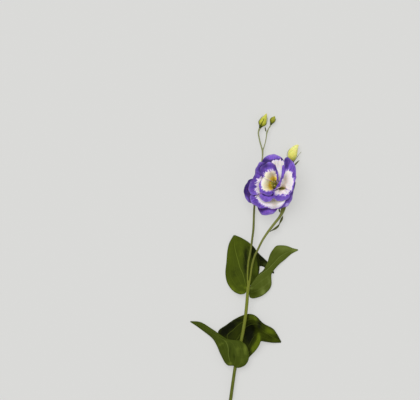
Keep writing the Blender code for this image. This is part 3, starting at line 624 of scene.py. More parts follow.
def petalFace():
    # a faint glow in its own colour: painted light in place of light passing through the petal
    finish = Finish("petalFace", Specular_IOR_Level=0.2, Subsurface_Weight=0.12, Subsurface_Scale=0.002,
                    Sheen_Weight=0.08, Sheen_Roughness=0.4, Emission_Strength=0.07)
    step, place = finish.step, finish.place()
    inside, band, hollow, warm = (finish.mark(name) for name in ("inside", "band", "hollow", "warm"))
    streak = finish.noise(finish.weave(*petalPaint["grain"]), 1, 3)
    teeth = finish.noise(finish.weave(*petalPaint["teeth"]), 1, 4, 0.7)
    cloud = finish.noise(place, 120)
    drift, run = cloud - 0.5, streak - 0.5
    ragged = (step(teeth, 0.36, 0.64) - 0.5) * petalPaint["teethDepth"] + drift * 3
    ragged = inside + ragged * step(band, -1, 7)
    edged = step(band, 0, 0.5)
    # a lighter band along the edge of a wide violet margin: painted highlight where the rolled margin takes
    # the light, with the petal's paler edge
    rim = (1 - step(finish.mark("toEdge") + run * 1.2, 0.2, 3.4)) * step(band, 3, 8)
    # violet darkened with painted shade where the petals round it hide the sky and at its shade spots, and
    # lightened with painted light where a spot's amount is below 0
    violet = finish.layered(
        petalPaint["violet"],
        (step(streak + drift * 0.6, 0.3, 0.7), petalPaint["violetStreak"]),
        (rim * 0.5, petalPaint["rim"]),
        (step(hollow + drift * 0.12, 0.06, 0.5), petalPaint["shaded"]),
        (1 - step(hollow, -0.6, 0), petalPaint["lit"]))
    pale, deep, gold = (finish.mix(warm, *petalPaint[key]) for key in ("pale", "deep", "gold"))
    depth = finish.mark("fromFoot") + drift * 5 + run * 4
    cream = finish.mix(step(depth, 6, 12.5), gold, finish.mix(step(depth, 12, 24), deep, pale))
    blush = step(step(3.5 - inside, 0, 3.5) * (streak + 0.25), 0.25, 0.8) * edged
    fleck = step(finish.noise(place, 900, 1) + step(3.0 - inside, 0, 3.5) * 0.22, 0.78, 0.84) * edged
    # cream with its streaks, painted shade at its spots, the blush next to the violet, and violet flecks
    cream = finish.layered(
        cream,
        (step(streak, 0.5, 0.8) * 0.22, petalPaint["streak"]),
        (finish.mark("paintedShadeOnWhite"), petalPaint["paintedShadeOnWhite"]),
        (blush * 0.6, petalPaint["blush"]),
        (fleck * 0.8, petalPaint["fleck"]))
    colour = finish.mix((1 - step(ragged, -0.3, 0.3)) * edged, cream, violet)
    finish.feed(Base_Color=colour, Emission_Color=colour, Roughness=0.5 + streak * 0.15)
    finish.relief(streak + cloud * 0.4, 0.3, 0.6)
    return finish


def petalBack():
    finish = Finish("petalBack", Specular_IOR_Level=0.25, Subsurface_Weight=0.12, Subsurface_Scale=0.002,
                    Sheen_Weight=0.1, Sheen_Roughness=0.4)
    streak = finish.noise(finish.weave(*petalPaint["grain"]), 1, 3)
    run = streak - 0.5
    pale = finish.mix(finish.step(finish.mark("fromFoot") + run * 8, 8, 20),
                      petalPaint["backFoot"], petalPaint["back"])
    violet = finish.mix(streak, *petalPaint["backViolet"])
    margin = 1 - finish.step(finish.mark("inside") + run * 5, -7.5, -3.5)
    finish.feed(Base_Color=finish.mix(margin * 0.9, pale, violet),
                Roughness=0.55 + finish.noise(finish.place(), 120) * 0.15)
    finish.relief(streak, 0.25, 0.6)
    return finish


def addPetals():
    finishes = [petalFace(), petalBack()]
    coarsePile, pile = Pile(), Pile()
    laid = []
    for number, (name, own) in enumerate(petals.items(), 1):
        petal = {**plainPetal, **own}
        wide = len(petal["crest"]) > bloom["manyPoints"]
        raw = petalRows(petal, bloom["laidColumns"][wide], bloom["laidRows"])[0]
        lift = (coarsePile.lay(raw.copy()) - raw)[..., 2:]
        columns, rows = bloom["columns"][wide], bloom["rows"]
        points, marks = petalRows(petal, columns, rows)
        points = roundedOver(points)
        before, after = bloom["liftRounds"]
        lift = softer(finer(lift, 12)[..., 0], before)
        points[..., 2] += softer(sampled(lift, columns, rows), after)
        laid.append((name, petal, pile.settle(ruffled(points, petal, number)), marks))
        print("petal: %s" % name)
    for name, petal, points, marks in laid:
        place = points - (*bloom["middle"], 0)
        # painted shade where the petals round it hide the sky, with its own spots of painted shade and light
        marks["hollow"] = pile.hollow(points) + spotted(place, petal["shade"])
        marks["paintedShadeOnWhite"] = spotted(place, petal["paintedShadeOnWhite"])
        addSheet(name, points, marks, bloom["skin"], finishes, "petal")


addPetals()

leafShape = {
    "thickness": 0.45,
    "rows": 73,
    "halfColumns": 15,
    "groove": 0.35,             # depth of the midrib's groove
    "ripple": 0.35,             # height of the wavy edge
    "ripples": 3.5,
    "sideVeins": (0.34, 0.66),  # on the way from midrib to edge
}
bractShape = {
    "thickness": 0.35,
    "rows": 25,
    "cupping": 0.25,
    "tones": ((56, 60, 20), (76, 80, 38), (98, 100, 56)),
}

# Tones in painted shade, between and in painted light, and spots of painted light (amount above 0) and
# of painted shade (below 0); then midrib, left edge and right edge from base to tip, and the arch of each
# half. Where they differ from leafFinish: where the pale midrib begins, and how strong the side veins and
# the pale rim are
leaves = {
    "upper_left_leaf": dict(
        tones=((24, 30, 0), (66, 78, 12), (92, 106, 22)),
        spots=[(-14, -24, 7, 5, 0.8), (-3, -28, 5, 2.5, 0.7), (-19, -15, 3.5, 6, 0.5),
            (-9.3, -20, 4.5, 4, -0.5), (-13, -2, 7, 9, -0.2), (-18.3, 21, 4, 11, 0.3), (-3, 32, 7, 5, 0.35),
            (2, 13, 3.4, 18, -1), (9.5, 12, 3, 10, -0.2), (14.8, 5.9, 2, 8, 0.35), (18, 3, 1.3, 8, -0.9),
            (12.9, -8, 5, 5, -0.6), (12.5, 26, 5, 6, -0.8), (17.5, 15, 3, 9, -1), (10.5, 18, 2.5, 9, -0.8),
            (-4, 21, 3, 5, 0.35), (2, -22, 3, 2, 0.9), (-5, -19.5, 5, 1.6, 0.5)],
        rib=[(2.9, -23, 12.35), (1, -15, 9.5), (-2, -4, 6.8), (-5.5, 4, 5.4), (-8, 13, 4.4),
            (-10.5, 22, 3.6), (-12.4, 32, 3.4), (-12.8, 43.5, 4)],
        left=[(2.5, -25.5, 12.4), (1.2, -28.8, 11.4), (-4, -30.4, 9.4), (-10, -28.7, 7.3), (-16, -24.2, 5),
            (-21.6, -15.3, 2.2), (-23.6, -4, 0.9), (-22.3, 10.6, 0.8), (-21, 25, 1.8), (-18.8, 34, 2.6),
            (-13.4, 44, 4)],
        right=[(3.4, -20.8, 11.75), (8.5, -18.5, 9.2), (13.5, -13.2, 7.8), (17.5, -7.5, 6.6), (19.2, 0, 6),
            (19.3, 8, 5.6), (18.3, 16, 5.2), (14, 27, 5), (6.5, 34.5, 4.8), (-3, 40.5, 4.4),
            (-11.8, 44.2, 4)],
        arch=(1.0, 0.6)),
    "upper_right_leaf": dict(
        tones=((50, 60, 6), (78, 90, 28), (112, 125, 58)),
        spots=[(48, 28, 12, 5, 0.6), (34, 22, 4, 6, -0.35), (36, 2.7, 6, 5, -0.25), (11.6, -28, 7, 7, -0.8),
            (17, -18, 4, 4, -0.2), (23.5, -28, 4.5, 5, 0.8), (32, -15, 2.5, 6, 0.4), (64, 25, 5, 2.5, 0.5),
            (26, 2, 4, 3, -0.4), (8.5, -22.5, 3, 1.6, 0.9), (14, -22.6, 5, 1, 0.4)],
        rib=[(6.75, -22, 12.55), (12.6, -14, 10.8), (17.5, -7.2, 9.6), (23.2, -3, 8.6), (29.5, 1.5, 7.2),
            (36, 7.8, 5.4), (45.5, 17.2, 3.4), (55.5, 22.8, 2), (67.5, 25.3, 0.7)],
        left=[(7.0, -20.3, 12.4), (12.9, -11.8, 11), (18.4, -4.6, 10.2), (23.4, -0.3, 9.6), (27, 5.5, 9.2),
            (29.5, 11, 8.4), (33.2, 21.5, 6.8), (36.4, 26.3, 6), (39.7, 30.1, 5.2), (41.8, 31, 4.8),
            (47.4, 31.3, 3.8), (53.7, 30.5, 2.8), (61.4, 27.6, 1.6), (68, 26, 0.7)],
        right=[(6.2, -24.2, 12.3), (6.2, -29.5, 10.2), (6.9, -34, 8.8), (11, -35.5, 7.4), (17, -34.4, 6),
            (23.2, -31.9, 4.8), (29, -27.4, 4), (33, -22.5, 3.6), (34.6, -16, 3.8), (33.8, -7.5, 4.2),
            (36.5, -1.5, 4.4), (44.8, 7.8, 3.4), (51.8, 13.5, 2.2), (59.5, 20.2, 1.2), (68, 24.7, 0.7)],
        arch=(0.3, 1.0)),
    "upper_back_leaf": dict(
        # its tones are dark all over: painted shade from the stems and leaves of the bunch that lie over it
        tones=((16, 20, 0), (30, 36, 2), (58, 66, 28)),
        spots=[(21.8, 14, 5, 5, -0.6), (26, 7.5, 2.5, 2.5, 0.9)],
        rib=[(3.9, -30, 11.2), (5, -22, 7.6), (7, -8, 4), (8.5, 6, 2.8), (12, 16, 2.3), (22, 11, 2),
            (30, 3.5, 1.6), (37.5, -3.8, 1.1)],
        left=[(3.2, -29.6, 11.2), (1.5, -18, 6), (0.5, -4, 3.2), (0.5, 14, 2.4), (6, 31, 2.4),
            (21, 18.5, 1.8), (32, 7.5, 1.4), (38, -3.2, 1.1)],
        right=[(4.6, -29.8, 11.2), (7.5, -20, 7), (12, -8, 3.6), (16, 0, 2.4), (19.5, 4.6, 2.2),
            (24.5, 4, 1.8), (30, -1.5, 1.4), (37.3, -4.6, 1.1)],
        arch=(0.2, 0.2)),
    "lower_front_leaf": dict(
        tones=((38, 48, 2), (64, 76, 18), (98, 111, 38)),
        spots=[(-28, -101, 3, 8, 0.15), (-17.8, -102, 2, 8, -0.7), (-8.2, -100, 3, 9, 0.45),
            (-12.5, -107, 2, 5, -0.6), (1.2, -99, 2, 6, 0.9), (-2.4, -113, 4, 4, 0.3),
            (-17.4, -117, 2.5, 2, 0.9), (-7.4, -120, 4, 2, 0.1), (-31.5, -88.5, 5, 4, 0.25),
            (-40, -82, 5, 4, -0.15), (-53, -69, 8, 4, -0.3), (3.5, -107, 1.8, 6, 0.2),
            (-34, -96, 2, 1.2, 0.5), (-30.5, -93.8, 2.2, 1.1, 0.5), (-27, -91.4, 2.2, 1.1, 0.5),
            (-23.5, -89, 2.2, 1.1, 0.5), (-27, -97.5, 4, 4, -0.4), (-30, -88, 6, 3, -0.35)],
        rim=0.6,
        rib=[(-13.2, -120, 10.2), (-17.6, -115, 12.2), (-20, -106, 14), (-20.4, -97, 14.2),
            (-23.5, -89, 13), (-33, -82.8, 10), (-45, -75.5, 6.5), (-57.5, -69.3, 3), (-67.5, -64.7, 0.8)],
        left=[(-10, -122.3, 10), (-6.5, -122.5, 9.6), (1, -119.4, 9), (5.5, -112.5, 8.8), (6, -104, 9),
            (1.5, -93, 11.6), (-6, -88.2, 12.6), (-19.8, -86.4, 12.5), (-40, -73.8, 7), (-55, -65.2, 3),
            (-67.8, -64.1, 0.8)],
        right=[(-15, -119.8, 10.2), (-20.5, -119.4, 9.4), (-24.6, -115.5, 8.6), (-28, -109, 7.8),
            (-31, -103, 7.2), (-33.6, -96.5, 6.4), (-39.6, -86.3, 4.4), (-51.6, -76.6, 2), (-60, -70.5, 1),
            (-67.8, -65.3, 0.8)],
        arch=(1.6, 0.8)),
    "lower_back_leaf": dict(
        # its tones are dark all over: painted shade from the stems and leaves of the bunch that lie over it
        tones=((14, 17, 0), (44, 52, 4), (86, 100, 16)),
        spots=[(-25, -77, 9, 7, -1), (-15, -69.5, 6, 5, -1), (-9, -77, 4, 8, 0.1), (-7, -63, 5, 3, -0.7),
            (9, -58.5, 5, 3, 0.4), (14, -61, 3, 3, 0.7), (6, -82, 8, 12, -1), (19, -69, 2.5, 6, -0.8),
            (18, -86, 2.2, 7, 1.4), (14.8, -93, 2.2, 5, 1.2), (11, -98.5, 2.4, 6, 1), (31, -76, 5, 4, 0.6),
            (38, -79, 4, 3, 0.4), (37, -88, 7, 2.5, 0.25), (9, -72, 5, 6, -0.8)],
        ribFrom=0.66, veins=0.3,
        rib=[(-8.55, -117, 5.8), (-4, -108, 4.5), (0, -99, 3.5), (3.5, -90, 3), (7, -81, 3.2),
            (12, -75.4, 4.5), (19, -74, 11.5), (26, -78, 10), (35.5, -84, 6), (46.4, -90.4, 1.2)],
        left=[(-10.3, -115.4, 4.85), (-20, -97, 3), (-33, -78, 1.6), (-22, -68.5, 3), (-10, -60.4, 4),
            (4, -54.9, 6), (13.5, -56.5, 9.5), (24, -66.4, 9), (36.5, -73.5, 6), (41, -79.5, 4),
            (46.8, -89.9, 1.2)],
        right=[(-6.4, -118, 6.2), (2, -113.5, 6.5), (8.5, -106.8, 7.6), (14.3, -100.6, 9.2),
            (18, -95, 10.5), (20, -91, 11), (21.2, -89.2, 9.5), (26.5, -90, 7), (36, -91.4, 4),
            (46.4, -91.4, 1.2)],
        arch=(0.0, -0.8)),
}

# Half width at the middle and midrib; the midrib has its own half widths where a blade narrows and widens
bracts = {
    "long_bract": (1.4, [(32.2, 48.3, 8.8, 0.4), (34.2, 49.6, 9, 0.5), (37, 51.2, 9.2, 1),
        (39.8, 53, 9.2, 1.35), (42.3, 55.2, 9.1, 1.1), (43.7, 57.2, 9, 0.5), (44.6, 59, 8.9, 0.5),
        (45.7, 61.3, 8.7, 1.1), (47, 64, 8.6, 1.4), (48, 66.4, 8.5, 0.9), (48.6, 68.4, 8.4, 0.15)]),
    "short_bract": (0.8, [(44.65, 72.7, 8.2), (44.0, 76, 7), (43.4, 80, 6)]),
    "bud_bract": (0.9, [(61.9, 131.3, 7), (64.2, 133, 7), (66.8, 135.6, 7), (69.4, 138.0, 6.8)]),
    "fork_bract": (0.7, [(27.3, 174, 6.6), (26.7, 177.2, 6.6), (26.1, 180.1, 6.4)]),
}


def bladeMarks(count, halves):
    # for a blade's finish: -1 to 1 from edge to edge, 0 to 1 from base to tip, and its painted light and
    # shade, 0.5 for neither
    along, half = np.meshgrid(np.linspace(0, 1, count), halves, indexing="ij")
    return {"half": half, "along": along, "light": np.full(half.shape, 0.5)}


def bladeRows(line, across, width, bow, columns=7):
    # a narrow blade along its midrib, its edges bowed out of its plane
    share = np.linspace(-1, 1, columns)
    rows = (line[:, None, :3] + (across * width[:, None])[:, None] * share[:, None]
            + bow[:, None] * share[:, None] ** 2)
    return rows, bladeMarks(len(line), share)


def leafRows(leaf, seed):
    # rows across a leaf from its base to its tip, each half bowed between edge and midrib
    count, half = leafShape["rows"], leafShape["halfColumns"]
    rib, left, right = (smoothLine(leaf[key], count) for key in ("rib", "left", "right"))
    along = np.linspace(0, 1, count)
    swelling = np.sin(math.pi * along)
    rows = np.zeros((count, 2 * half + 1, 3))
    for column in range(-half, half + 1):
        share = abs(column) / half
        edge, bow, late = (left, leaf["arch"][0], 0.5) if column < 0 else (right, leaf["arch"][1], 0)
        line = rib + (edge - rib) * share
        line[:, 2] += bow * 4 * share * (1 - share) * swelling
        line[:, 2] -= leafShape["groove"] * math.exp(-(share / 0.06) ** 2) * swelling
        ripple = leafShape["ripple"] * share**3 * wave(along, leafShape["ripples"], seed + late)
        line[:, 2] = np.maximum(line[:, 2] + ripple * swelling, leafShape["thickness"] + 0.1)
        rows[:, column + half] = line
    marks = bladeMarks(count, np.arange(-half, half + 1) / half)
    # painted light and shade from the leaf's spots, 0 to 1
    marks["light"] = 0.5 + 0.5 * np.clip(spotted(rows, leaf["spots"]), -1, 1)
    return rows, marks


def bractRows(halfWidth, rib):
    # a lance-shaped strip along its midrib, widest a third of the way up and cupped along the middle
    line = smoothLine(rib, bractShape["rows"])
    way = np.gradient(line[:, :3], axis=0)
    across = unit(np.stack([-way[:, 1], way[:, 0], np.zeros(len(line))], axis=1))
    along = np.linspace(0, 1, len(line))
    width = halfWidth * (0.35 + 0.65 * np.sin(math.pi * along**0.7)) * (1 - 0.6 * along**2)
    if line.shape[1] > 3:
        width = line[:, 3]
    bow = bractShape["cupping"] * np.sin(math.pi * along)[:, None] * np.array((0, 0, 1))
    return bladeRows(line, across, width, bow)


def leafFinish(name, tones, ribFrom=-1, veins=0.16, rim=0.25):
    finish = Finish(name, Specular_IOR_Level=0.04)
    shade, middle, high = tones
    pale = [value + 22 for value in high]
    step, place, along = finish.step, finish.place(), finish.mark("along")
    away = finish.maths("ABSOLUTE", finish.mark("half"))
    cloud = finish.noise(place, 70, 3)
    mottle = finish.noise(place, 230, 3, 0.6)
    fine = finish.noise(place, 900)
    cell = finish.node("ShaderNodeTexVoronoi", {"feature": "DISTANCE_TO_EDGE"},
                       {"Vector": place, "Scale": 420.0})
    light = finish.mark("light") + (cloud - 0.5) * 0.45 + (mottle - 0.5) * 0.3 + (fine - 0.5) * 0.12
    midrib = (1 - step(away, 0.008, 0.034)) * step(along, ribFrom, ribFrom + 0.1)
    net = 0
    for line in leafShape["sideVeins"]:
        wobble = finish.maths("ABSOLUTE", away - line + (cloud - 0.5) * 0.12)
        net = net + (1 - step(wobble, 0.002, 0.02)) * (1 - step(along, 0.55, 0.95))
    # the green goes from the painted shade tone through the middle to the painted light tone as the light
    # mark rises, mottled; then pale veins, midrib and rim
    tone = finish.layered(
        shade,
        (step(light, 0.02, 0.52), middle),
        (step(light, 0.48, 0.98), high),
        (net * veins, pale),
        (midrib * 0.5, pale),
        (step(away, 0.975, 0.998) * rim, pale))
    finish.feed(Base_Color=tone, Roughness=0.5 + cloud * 0.2)
    blisters = finish.maths("MINIMUM", cell, 0.25)
    finish.relief(mottle * 1.2 + blisters * 0.6 - net * 0.4 - midrib * 0.7, 0.3)
    return finish


def addLeaves():
    for number, (name, leaf) in enumerate(leaves.items(), 1):
        lines = {key: leaf[key] for key in ("ribFrom", "veins", "rim") if key in leaf}
        finish = leafFinish(name + "Green", leaf["tones"], **lines)
        addSheet(name, *leafRows(leaf, number), leafShape["thickness"], [finish], "leaf")
    finish = leafFinish("bractGreen", bractShape["tones"])
    for name, bract in bracts.items():
        addSheet(name, *bractRows(*bract), bractShape["thickness"], [finish], "leaf")
    print("leaves and bracts laid")


addLeaves()

# Main stem and branches: x, y, height, radius
limbs = {
    "main": [(-22, -197, 2.15, 2.15), (-17, -162, 4.2, 2.15), (-11.8, -125, 6.9, 2.1),
        (-10.5, -118, 7.5, 2.3), (-9.2, -112, 7.9, 2), (-3, -84.5, 9.5, 2.05), (1, -62, 11, 2.05),
        (3.5, -38.8, 12.7, 2.05), (3.9, -32.5, 13.3, 2), (4.3, -27, 13.7, 1.9), (4.6, -22.5, 14, 2.2),
        (4.9, -20.5, 14, 1.9)],
    "left": [(4.6, -23, 14, 1.3), (4.2, -12, 13.6, 0.95), (4.1, -6, 13.1, 1), (4.5, 2.7, 12.4, 1.15),
        (5.5, 12.3, 11.6, 1.25), (6.9, 18.6, 11, 1.3), (8.5, 28.2, 10.1, 1.35), (10.6, 43.5, 8.8, 1.4),
        (11.5, 50.5, 8.2, 1.45), (13, 82, 6, 1.3), (16.5, 105, 5.5, 1.2), (20.5, 127, 6, 1.05),
        (23, 142, 6.5, 1), (23.1, 150.5, 7, 1.2)],
    "right": [(5.3, -23, 14, 1.3), (7, -12, 14.1, 1.15), (7.9, -6, 13.9, 1.2), (9.1, 2.7, 13.4, 1.25),
        (11.2, 12.3, 13, 1.3), (13.3, 18.6, 12.6, 1.35), (16.6, 25, 12.2, 1.35), (19.6, 31.4, 11.8, 1.4),
        (23, 37.8, 11.4, 1.4), (27, 44.1, 11, 1.5), (31.6, 50.5, 10.4, 1.6), (39, 60, 9.6, 1.65),
        (43.9, 66, 9, 1.75), (47.3, 71.5, 8.5, 1.95), (50.3, 77, 8, 1.55), (53, 90, 7, 1.35),
        (55.3, 105, 6.3, 1.2), (57, 120, 6.6, 1.15), (58.6, 127, 7, 1.25)],
    "bloomPedicel": [(46.8, 71, 8.5, 1.8), (47.6, 80, 6.8, 1.6), (46, 92, 4.4, 1.6), (43, 100, 4.2, 1.7),
        (41.1, 103.8, 5.8, 2.0), (40.9, 104.4, 7.4, 2.2), (40.9, 104.4, 9.5, 3.0)],
    "mediumArm": [(23.1, 149.5, 7, 1), (21.5, 155.5, 7, 0.95), (20, 160.5, 6.5, 0.9), (18.6, 167, 6, 0.9),
        (17.9, 171.5, 5.6, 0.95), (18.1, 174.2, 5.3, 1)],
    "smallArm": [(23.1, 150, 7, 0.9), (24, 152, 7, 0.75), (25.6, 157, 7, 0.65), (27.1, 163, 7, 0.65),
        (28.1, 169.5, 6.8, 0.7), (28.6, 173, 6.6, 1), (31, 178.4, 6, 0.65)],
}

# Buds: the closed petals as x, y, height, radius; the limb under them; the sepals' places round the bud, how
# far each leans out at its tip and its length along the bud; the tone at the foot, at the widest place and
# at the tip
buds = {
    "large_bud": dict(
        corolla=[(60.3, 136.4, 7.3, 1.8), (60.2, 139.2, 7.4, 4.1), (60.2, 142.6, 7.5, 5.5),
            (60.9, 146.6, 7.5, 5.9), (62.5, 150.6, 7.4, 4.9), (64.9, 154.1, 7.3, 3.3),
            (67.2, 156.3, 7.3, 1.9), (69, 156.8, 7.3, 0.8)],
        limb="right", limbRadius=1.7, sepalWidth=0.5,
        sepals=[(-14, 4.4, 0.5), (-60, 1, 0.75), (-100, 0.6, 0.75), (-140, 1, 0.75), (190, 2, 0.75)],
        tones=((168, 164, 64), (228, 226, 114), (242, 240, 148))),
    "medium_bud": dict(
        corolla=[(20.6, 180.4, 5.6, 1.3), (21.6, 182.6, 5.6, 3.7), (23.1, 185.5, 5.6, 4.7),
            (24.7, 188.8, 5.6, 3.9), (26.4, 192.6, 5.6, 2.4), (28.3, 197, 5.6, 0.6)],
        limb="mediumArm", limbRadius=1.2, sepalWidth=0.6,
        sepals=[(95, 0.1, 0.6), (165, 0.3, 0.75), (235, 0.5, 0.75), (300, 0.5, 0.75), (12, 0.3, 0.75)],
        tones=((134, 138, 22), (196, 196, 62), (206, 204, 82))),
    "small_bud": dict(
        corolla=[(34.1, 184.3, 4.6, 1), (34.9, 186.2, 4.6, 2.5), (35.9, 188.6, 4.6, 3.2),
            (37, 190.7, 4.6, 2.3), (38.7, 193.6, 4.6, 0.5)],
        limb="smallArm", limbRadius=0.8, sepalWidth=0.5,
        sepals=[(30, 0.2, 0.75), (150, 0.2, 0.75), (215, 0.3, 0.75), (270, 0.3, 0.75), (325, 0.3, 0.75)],
        tones=((112, 118, 20), (150, 152, 36), (164, 166, 54))),
}
calyxCup = {"depth": 2.0, "gap": 0.3, "neck": 2.0, "flare": 0.5, "bulge": 0.6, "rows": 9}
budSepal = {"clearance": 0.6, "thickness": 0.35, "tones": ((66, 74, 8), (112, 118, 24)),
            "rim": (130, 138, 60)}
# Turns of a petal round its bud, height of its edge, shares of the bud that close it at foot and tip
budShape = {"petals": 5, "twist": 0.55, "step": 0.09, "foot": 0.07, "tip": 0.12, "rows": 60, "sides": 100}
sepalShape = {
    "rows": 24,
    "belly": 0.25,              # share of its half width that it gains above its foot
    "taper": (2.2, 0.8),        # how late and how bluntly it narrows to its point
    "point": 0.08,
    "keel": 0.3,                # depth for each mm of its half width
}
stemSkin = {"voxel": 0.32, "sides": 20, "rows": 60}

# Tones of the stem, each with where it sets in and is full, in metres from the plant's middle: along the
# plant, and to the side for the right branch
stemTones = {
    "foot": (84, 92, 24),
    "middle": ((-0.16, -0.03), (114, 122, 38)),
    "forked": ((-0.02, 0.05), (94, 98, 44)),
    # lighter to the right, on the branches below the bloom: painted light where the bloom's shadow falls
    "right": ((0.01, 0.024), (118, 122, 60)),
    "thin": ((0.125, 0.14), (142, 146, 104)),
    "streak": (134, 140, 72),
}


def budAxis(bud):
    first, second = (np.array(row[:3]) for row in bud["corolla"][:2])
    return unit(second - first)


def toBud(bud):
    # a pedicel's line carried on to just under the calyx of its bud
    axis = budAxis(bud)
    end = np.array(bud["corolla"][0][:3]) - axis * (calyxCup["depth"] + calyxCup["gap"])
    neck = end - axis * calyxCup["neck"]
    return limbs[bud["limb"]] + [(*neck, bud["limbRadius"]), (*end, bud["limbRadius"])]


def stemFinish():
    finish = Finish("stemGreen", Specular_IOR_Level=0.1, Subsurface_Weight=0.05, Subsurface_Scale=0.001)
    place, aside, along = finish.place(), finish.place(0), finish.place(1)
    streak = finish.noise(finish.scaled(place, 1, 0.05, 1), 1400)
    cloud = finish.noise(place, 60, 3)
    levels = {"middle": along + (cloud - 0.5) * 0.05, "forked": along + (cloud - 0.5) * 0.03,
              "right": aside, "thin": along}
    layers = [(finish.step(level, *stemTones[key][0]), stemTones[key][1]) for key, level in levels.items()]
    layers.append((finish.step(streak, 0.4, 0.7) * 0.3, stemTones["streak"]))
    finish.feed(Base_Color=finish.layered(stemTones["foot"], *layers), Roughness=0.42 + cloud * 0.2)
    finish.relief(streak + cloud * 0.5, 0.1)
    return finish


def addStem():
    lines = [limbs["main"], limbs["left"], toBud(buds["large_bud"]), limbs["bloomPedicel"],
             toBud(buds["medium_bud"]), toBud(buds["small_bud"])]
    lines = [smoothLine(line, stemSkin["rows"]) for line in lines]
    addPiece("stem", tubeMesh("stem", lines, stemSkin["sides"], stemSkin["voxel"]), [stemFinish()], "stem")
    print("stem grown")


addStem()


def strip(name, points, outward, halfWidth, thickness):
    # a slender pointed blade along a line, keeled down its middle, its face turned outward
    line = smoothLine(points, sepalShape["rows"])
    way = unit(np.gradient(line, axis=0))
    across = unit(np.cross(way, outward))
    along = np.linspace(0, 1, len(line))
    belly, (late, blunt) = sepalShape["belly"], sepalShape["taper"]
    width = 1 - belly + belly * np.sin(math.pi * np.minimum(along * 1.6, 1))
    width = halfWidth * width * (1 - along**late) ** blunt + sepalShape["point"]
    keel = np.cross(way, across) * sepalShape["keel"] * width[:, None]
    rows, marks = bladeRows(line, across, width, keel)
    return baked(sheetMesh(name, rows, marks), ("SOLIDIFY", dict(thickness=thickness * mm, offset=0)))


def budMesh(name, corolla):
    # closed petals wound round each other: a ball drawn out along the bud, stepped where petals overlap
    line = smoothLine(corolla, budShape["rows"])
    way = unit(np.gradient(line[:, :3], axis=0))
    shape = bmesh.new()
    layers = {key: shape.verts.layers.float.new(key) for key in ("along", "fold")}
    bmesh.ops.create_uvsphere(shape, u_segments=budShape["sides"], v_segments=budShape["rows"], radius=1)
    for vertex in shape.verts:
        along = 1 - math.acos(max(-1, min(1, vertex.co.z))) / math.pi
        angle = math.atan2(vertex.co.y, vertex.co.x)
        row = along * (len(line) - 1)
        centre = readAt(line, row)
        axis = Vector(readAt(way, row))
        side = axis.cross(Vector((0, 0, 1))).normalized()
        out = side * math.cos(angle) + side.cross(axis) * math.sin(angle)
        fold = (budShape["petals"] * (angle / (2 * math.pi) + budShape["twist"] * along)) % 1
        swelling = math.sin(math.pi * along) ** 0.5
        closing = min(1, along / budShape["foot"]) ** 0.5 * min(1, (1 - along) / budShape["tip"]) ** 0.6
        radius = centre[3] * closing * (1 + budShape["step"] * swelling * (fold - 0.6))
        vertex.co = (Vector(centre[:3] - plantCentre) + out * radius) * mm
        vertex[layers["along"]] = along
        vertex[layers["fold"]] = fold
    bmesh.ops.recalc_face_normals(shape, faces=shape.faces)
    return meshFrom(shape, name)


def budFinish(name, tones):
    finish = Finish(name, Roughness=0.5, Specular_IOR_Level=0.25, Subsurface_Weight=0.15,
                    Subsurface_Scale=0.002)
    low, middle, high = tones
    step, place = finish.step, finish.place()
    streak = finish.noise(finish.scaled(place, 1, 0.25, 1), 900)
    along = finish.mark("along") + (finish.noise(place, 150) - 0.5) * 0.2
    tone = finish.layered(
        low,
        (step(along, 0.02, 0.38), middle),
        (step(along, 0.35, 0.8), high),
        # darker along the seam where each petal's edge lies over the next: painted shade
        ((1 - step(finish.mark("fold"), 0.02, 0.16)) * 0.5, low),
        (step(streak, 0.5, 0.75) * 0.25, low))
    finish.feed(Base_Color=tone)
    finish.relief(streak, 0.15)
    return finish


def sepalFinish(name, low, high):
    finish = Finish(name, Roughness=0.5, Specular_IOR_Level=0.1)
    cloud = finish.noise(finish.place(), 200)
    edge = finish.step(finish.maths("ABSOLUTE", finish.mark("half")), 0.75, 0.98)
    tone = finish.mix(finish.step(finish.mark("along") + (cloud - 0.5) * 0.4, 0.1, 0.8), low, high)
    finish.feed(Base_Color=finish.mix(edge * 0.3, tone, budSepal["rim"]))
    finish.relief(cloud - edge * 0.5, 0.15)
    return finish


def addBud(name, bud):
    addPiece(name, budMesh(name, bud["corolla"]), [budFinish(name + "Petal", bud["tones"])], "bud")
    line = smoothLine(bud["corolla"], calyxCup["rows"])
    axis = budAxis(bud)
    foot = line[0, :3] - axis * calyxCup["gap"]
    footRadius, lipRadius = bud["limbRadius"], line[0, 3] + calyxCup["flare"]
    cup = [(*(foot - axis * calyxCup["depth"] * (1 - t)),
            footRadius + (lipRadius - footRadius) * t ** calyxCup["bulge"])
           for t in np.linspace(0, 1, calyxCup["rows"])]
    green = sepalFinish(name + "Sepal", *budSepal["tones"])
    parts = [(tubeMesh(name + "_cup", [cup], sides=24), green)]
    sideways = unit(np.cross(axis, (0, 0, 1)))
    upwards = np.cross(sideways, axis)
    for degrees, lean, length in bud["sepals"]:
        x, y, _ = heading(degrees)
        out = sideways * x + upwards * y
        points = [foot - axis * 0.5 * calyxCup["depth"] + out * lipRadius * 0.75]
        for share in (0, 0.33, 0.67, 1):
            row = readAt(line, share * length * (len(line) - 1))
            x, y, z = row[:3] + out * (row[3] + budSepal["clearance"] + lean * share**2)
            points.append((x, y, max(z, budSepal["thickness"] + 0.2)))
        parts.append((strip(name + "_sepal", points, out, bud["sepalWidth"], budSepal["thickness"]), green))
    addPiece(name + "_calyx", joined(name + "_calyx", parts), [green], "calyx")


for budName, budTable in buds.items():
    addBud(budName, budTable)
print("buds closed")

